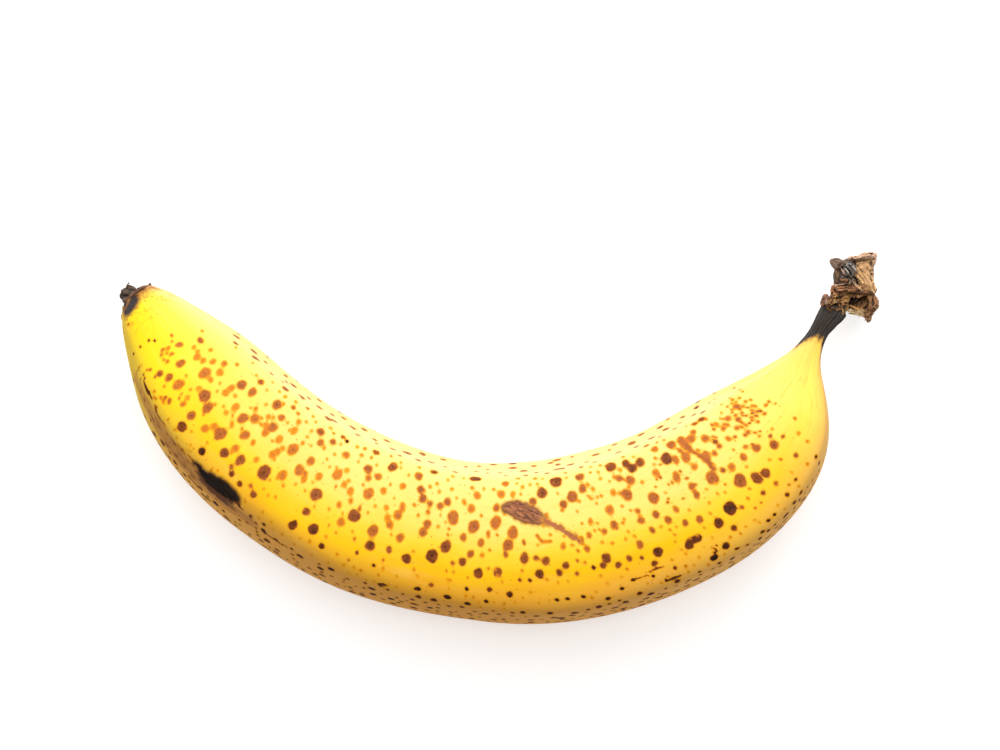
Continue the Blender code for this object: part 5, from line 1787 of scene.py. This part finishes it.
def lip_ring(across, above, middle, ripple, at_x, at_y, heading):
    """One ring of the curled lip, round a point of the fruit's first section."""
    thick = LIP_RADIUS + 0.35 * ripple
    a = across * (0.93 + 0.10 * ripple) + 0.16
    b = middle + (above - middle) * (0.95 + 0.10 * ripple)
    out = np.array((a, b - middle))
    out /= np.linalg.norm(out)
    ring = []
    for turn in 2 * np.pi * np.arange(LIP_SIDES) / LIP_SIDES:
        side = thick * math.cos(turn)
        back = thick * math.sin(turn) - 0.30 - 0.5 * ripple
        p, q = a + out[0] * side, b + out[1] * side
        ring.append((
            at_x - math.sin(heading) * p + math.cos(heading) * back,
            at_y + math.cos(heading) * p + math.sin(heading) * back,
            q,
        ))
    return ring


def blossom_pieces():
    """Curled rim round the blossom end and the dry pegs that stand in it."""
    rng = np.random.default_rng(CROWN_SEED + 2)
    lines = FruitLines()
    across, above = section_rings(lines, np.array([LIP_AT]))
    x, y, heading = (float(lines.read(name, LIP_AT)) for name in ("x", "y", "heading"))
    middle = above[0].mean()
    wave = rng.uniform(0, 2 * math.pi, LIP_WAVES)
    bm = bmesh.new()
    levels = []
    for j in range(0, AROUND, LIP_STRIDE):
        angle = 2 * math.pi * j / AROUND
        ripple = sum(0.12 * math.sin((k + 2) * angle + wave[k]) for k in range(LIP_WAVES))
        ring = lip_ring(across[0, j], above[0, j], middle, ripple, x, y, heading)
        levels.append([bm.verts.new(p) for p in ring])
    for low, high in zip(levels, levels[1:] + levels[:1]):
        for j in range(LIP_SIDES):
            k = (j + 1) % LIP_SIDES
            bm.faces.new((low[j], low[k], high[k], high[j]))
    rim = bark_object(bm, "blossom_rim", "plum", 0.14, 21)
    bm = bmesh.new()
    for radius, points in BLOSSOM_PEGS:
        ring_solid(bm, rope_rings(points, radius, sides=10, taper=0.55))
    pegs = bark_object(bm, "blossom_pegs", "husk", 0.16, 22)
    return rim, pegs


def bark_object(bm, name, bark, rough, seed):
    """Finishes a bark piece drawn in millimetres: roughened, coloured and linked."""
    bmesh.ops.subdivide_edges(bm, edges=bm.edges, cuts=1, use_grid_fill=True)
    bmesh.ops.recalc_face_normals(bm, faces=bm.faces)
    mesh = bpy.data.meshes.new(name)
    bm.to_mesh(mesh)
    bm.free()
    points = mesh_points(mesh)
    fibre = points * 0.8
    points = points + mesh_normals(mesh) * (rough * cloud(points, 0.6, seed))[:, None]
    move_points(mesh, points * MM)
    shade_smooth(mesh)
    dark, light = (np.tile(colour, (len(points), 1)) for colour in BARKS[bark])
    # Here the value for the painted shade and highlight is only smooth noise.
    give_bark(mesh, fibre, 0.5 + 0.5 * cloud(points, 0.7, seed + 4), dark, light)
    return linked(name, mesh)


def bark_material(settings):
    """Dry torn bark: fibrous streaks between the dark and the light of each lump."""
    w = Wiring(BARK_FINISH)
    fibre = w.vector("fibre_space")
    real = w.position()
    streak = w.noise(fibre, 0.42, 4.0, 0.65, warp=0.5)
    patch = w.noise(real, 1.3, 3.0, 0.6)
    grit = w.noise(real, 0.22, 2.0, 0.6)
    mixed = w.maths("ADD", w.times(streak, 0.45), w.times(patch, 0.27))
    crevice_shade_and_edge_light = w.number("crevice_shade_and_edge_light")
    # painted highlight: points that stand proud are drawn lighter
    mixed = w.maths("ADD", mixed, w.spread(crevice_shade_and_edge_light, -1.2, 1.6, -0.12, 0.42, smooth=False))
    lightness = w.spread(mixed, 0.41, 0.68)
    colour = w.mix(lightness, w.colour("bark_dark"), w.colour("bark_light"))
    colour = w.mix(w.spread(grit, 0.55, 0.75, 0.0, 0.5), colour, w.colour("bark_dark"))
    # painted shade: crevices are drawn near black
    colour = w.mix(w.spread(crevice_shade_and_edge_light, -0.90, 0.15, 0.93, 0.0), colour, (0.012, 0.008, 0.006))
    w.set("Base Color", colour)
    matt = settings.roughness
    w.set("Roughness", w.spread(grit, 0.3, 0.7, matt - 0.08, matt + 0.08))
    w.set("Specular IOR Level", 0.25)
    w.bump(w.maths("ADD", streak, w.times(grit, 0.4)), 0.16, 0.8)
    return w.material


# ------------------------ stage


FLOOR_RADIUS = 3.0
LENS = 105.0
SENSOR = 36.0
# The camera stands over this point and sees this width of the fruit's middle level.
CAMERA_OVER = (0.00036, 0.01484)
CAMERA_LEVEL = 0.018
VIEW_WIDTH = 0.2375
# Name, place, target, size and colour of each soft light.
SOFT_LIGHTS = (
    ("overhead_softbox", (0.0, 0.52, 1.15), (0, 0, 0), (1.3, 1.0), (1, 1, 1)),
    ("back_softbox", (0.10, 1.25, 0.55), (0, 0, 0.02), (1.5, 0.5), (1, 1, 1)),
    ("front_fill", (-0.2, -1.3, 0.55), (0, 0, 0.02), (1.2, 0.5), (1, 0.97, 0.93)),
)


def floor_material():
    """Pale matt floor that glows enough to read as a clean white ground."""
    w = Wiring("pale_studio_floor")
    grain = w.noise(w.position(), 60.0, 2.0)
    greys = ((0.3, (0.50, 0.50, 0.498)), (0.7, (0.52, 0.52, 0.518)))
    w.set("Base Color", w.bands(grain, greys))
    w.set("Roughness", 0.7)
    w.set("Specular IOR Level", 0.2)
    w.set("Emission Color", (1.0, 1.0, 1.0))
    w.set("Emission Strength", 0.62)
    return w.material


def soft_light(name, place, target, size, colour, power):
    """Large square area light that faces a target."""
    lamp = bpy.data.lights.new(name, "AREA")
    lamp.shape = "RECTANGLE"
    lamp.size, lamp.size_y = size
    lamp.energy = power
    lamp.color = colour
    holder = linked(name, lamp)
    holder.location = place
    aim = Vector(target) - Vector(place)
    holder.rotation_euler = aim.to_track_quat("-Z", "Y").to_euler()
    holder.visible_camera = False


def build_stage(settings):
    """Pale floor, three soft lights, an even sky and the camera straight above."""
    mesh = bpy.data.meshes.new("studio_floor")
    bm = bmesh.new()
    bmesh.ops.create_circle(bm, cap_ends=True, segments=96, radius=FLOOR_RADIUS)
    bm.to_mesh(mesh)
    bm.free()
    mesh.materials.append(floor_material())
    floor = linked("studio_floor", mesh)

    for row, power in zip(SOFT_LIGHTS, (settings.overhead, settings.back, settings.front)):
        soft_light(*row, power)

    world = bpy.data.worlds.new("even_sky")
    world.use_nodes = True
    sky = world.node_tree.nodes["Background"]
    sky.inputs["Color"].default_value = (1, 1, 1, 1)
    sky.inputs["Strength"].default_value = settings.sky
    bpy.context.scene.world = world

    lens = bpy.data.cameras.new("camera_above")
    lens.lens = LENS
    lens.sensor_width = SENSOR
    lens.clip_start = 0.01
    camera = linked("camera_above", lens)
    camera.location = (*CAMERA_OVER, CAMERA_LEVEL + VIEW_WIDTH * LENS / SENSOR)
    bpy.context.scene.camera = camera
    bpy.context.scene.view_settings.view_transform = "Standard"
    bpy.context.scene.view_settings.look = "None"


# ------------------------ add-on


class PeelSettings(bpy.types.PropertyGroup):
    """Sizes and colours of the peel."""

    # The lemon is partly painted highlight: the bleached look of the brightly lit top.
    lemon: bpy.props.FloatVectorProperty(
        name="Lemon", description="Colour of the palest skin", subtype="COLOR",
        size=3, min=0, max=1, default=(0.905, 0.670, 0.148),
    )
    gold: bpy.props.FloatVectorProperty(
        name="Gold", description="Colour of the outer side", subtype="COLOR",
        size=3, min=0, max=1, default=(0.90, 0.425, 0.002),
    )
    roughness: bpy.props.FloatProperty(
        name="Roughness", description="How matt the wax on the skin is", subtype="FACTOR",
        min=0, max=1, default=0.40,
    )
    spot_size: bpy.props.FloatProperty(
        name="Spot size", description="Size of the placed spots against the real ones",
        subtype="FACTOR", min=0.5, max=1.5, default=1.0,
    )


class BarkSettings(bpy.types.PropertyGroup):
    """Finish of the dry ends."""

    roughness: bpy.props.FloatProperty(
        name="Roughness", description="How matt the torn fibres are", subtype="FACTOR",
        min=0, max=1, default=0.72,
    )


class StageSettings(bpy.types.PropertyGroup):
    """Strength of the lights."""

    overhead: bpy.props.FloatProperty(
        name="Overhead", description="Power of the light above", subtype="POWER",
        min=0, default=19.0,
    )
    back: bpy.props.FloatProperty(
        name="Back", description="Power of the light on the hollow side", subtype="POWER",
        min=0, default=12.0,
    )
    front: bpy.props.FloatProperty(
        name="Front", description="Power of the light on the outer side", subtype="POWER",
        min=0, default=0.3,
    )
    sky: bpy.props.FloatProperty(
        name="Sky", description="Brightness of the even light all round", min=0, default=0.14,
    )


class BANANA_OT_peel(bpy.types.Operator):
    """Build the peel with its spots, bruise, scar and scuffs"""

    bl_idname = "banana.peel"
    bl_label = "Build peel"

    def execute(self, context):
        settings = context.scene.banana_peel
        piece = peel_piece(settings)
        piece.data.materials.append(peel_material(settings))
        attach(piece, BODY)
        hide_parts(NODE)
        return {"FINISHED"}


class BANANA_OT_crown(bpy.types.Operator):
    """Build the torn crown at the stem with its loose fibres"""

    bl_idname = "banana.crown"
    bl_label = "Build crown"

    def execute(self, context):
        crown = crown_piece()
        fibres = fibre_piece(crown)
        dress_bark(context, (crown, fibres))
        return {"FINISHED"}


class BANANA_OT_blossom(bpy.types.Operator):
    """Build the dried flower remnant at the tip"""

    bl_idname = "banana.blossom"
    bl_label = "Build blossom end"

    def execute(self, context):
        dress_bark(context, blossom_pieces())
        return {"FINISHED"}


def dress_bark(context, pieces):
    """Gives bark pieces their finish and their place on the fruit."""
    material = bpy.data.materials.get(BARK_FINISH)
    if material is None:
        material = bark_material(context.scene.banana_bark)
    for piece in pieces:
        piece.data.materials.clear()
        piece.data.materials.append(material)
        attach(piece, BODY)


class BANANA_OT_stage(bpy.types.Operator):
    """Set up the floor, the lights and the camera"""

    bl_idname = "banana.stage"
    bl_label = "Build stage"

    def execute(self, context):
        build_stage(context.scene.banana_stage)
        return {"FINISHED"}


class BANANA_PT_build(bpy.types.Panel):
    """Lists the build steps and their settings"""

    bl_label = "Spotted banana"
    bl_space_type = "VIEW_3D"
    bl_region_type = "UI"
    bl_category = "Banana"

    def draw(self, context):
        column = self.layout.column()
        for step in BUILD_STEPS:
            column.operator(step)
        scene = context.scene
        for group in (scene.banana_peel, scene.banana_bark, scene.banana_stage):
            for name in group.__annotations__:
                column.prop(group, name)


BUILD_STEPS = ("banana.stage", "banana.peel", "banana.crown", "banana.blossom")
CLASSES = (
    PeelSettings, BarkSettings, StageSettings, BANANA_OT_peel, BANANA_OT_crown,
    BANANA_OT_blossom, BANANA_OT_stage, BANANA_PT_build,
)


def register():
    for cls in CLASSES:
        bpy.utils.register_class(cls)
    bpy.types.Scene.banana_peel = bpy.props.PointerProperty(type=PeelSettings)
    bpy.types.Scene.banana_bark = bpy.props.PointerProperty(type=BarkSettings)
    bpy.types.Scene.banana_stage = bpy.props.PointerProperty(type=StageSettings)


def unregister():
    del bpy.types.Scene.banana_stage
    del bpy.types.Scene.banana_bark
    del bpy.types.Scene.banana_peel
    for cls in reversed(CLASSES):
        bpy.utils.unregister_class(cls)


def main():
    register()
    bpy.ops.banana.stage()
    bpy.ops.banana.peel()
    bpy.ops.banana.crown()
    bpy.ops.banana.blossom()


if __name__ == "__main__":
    main()
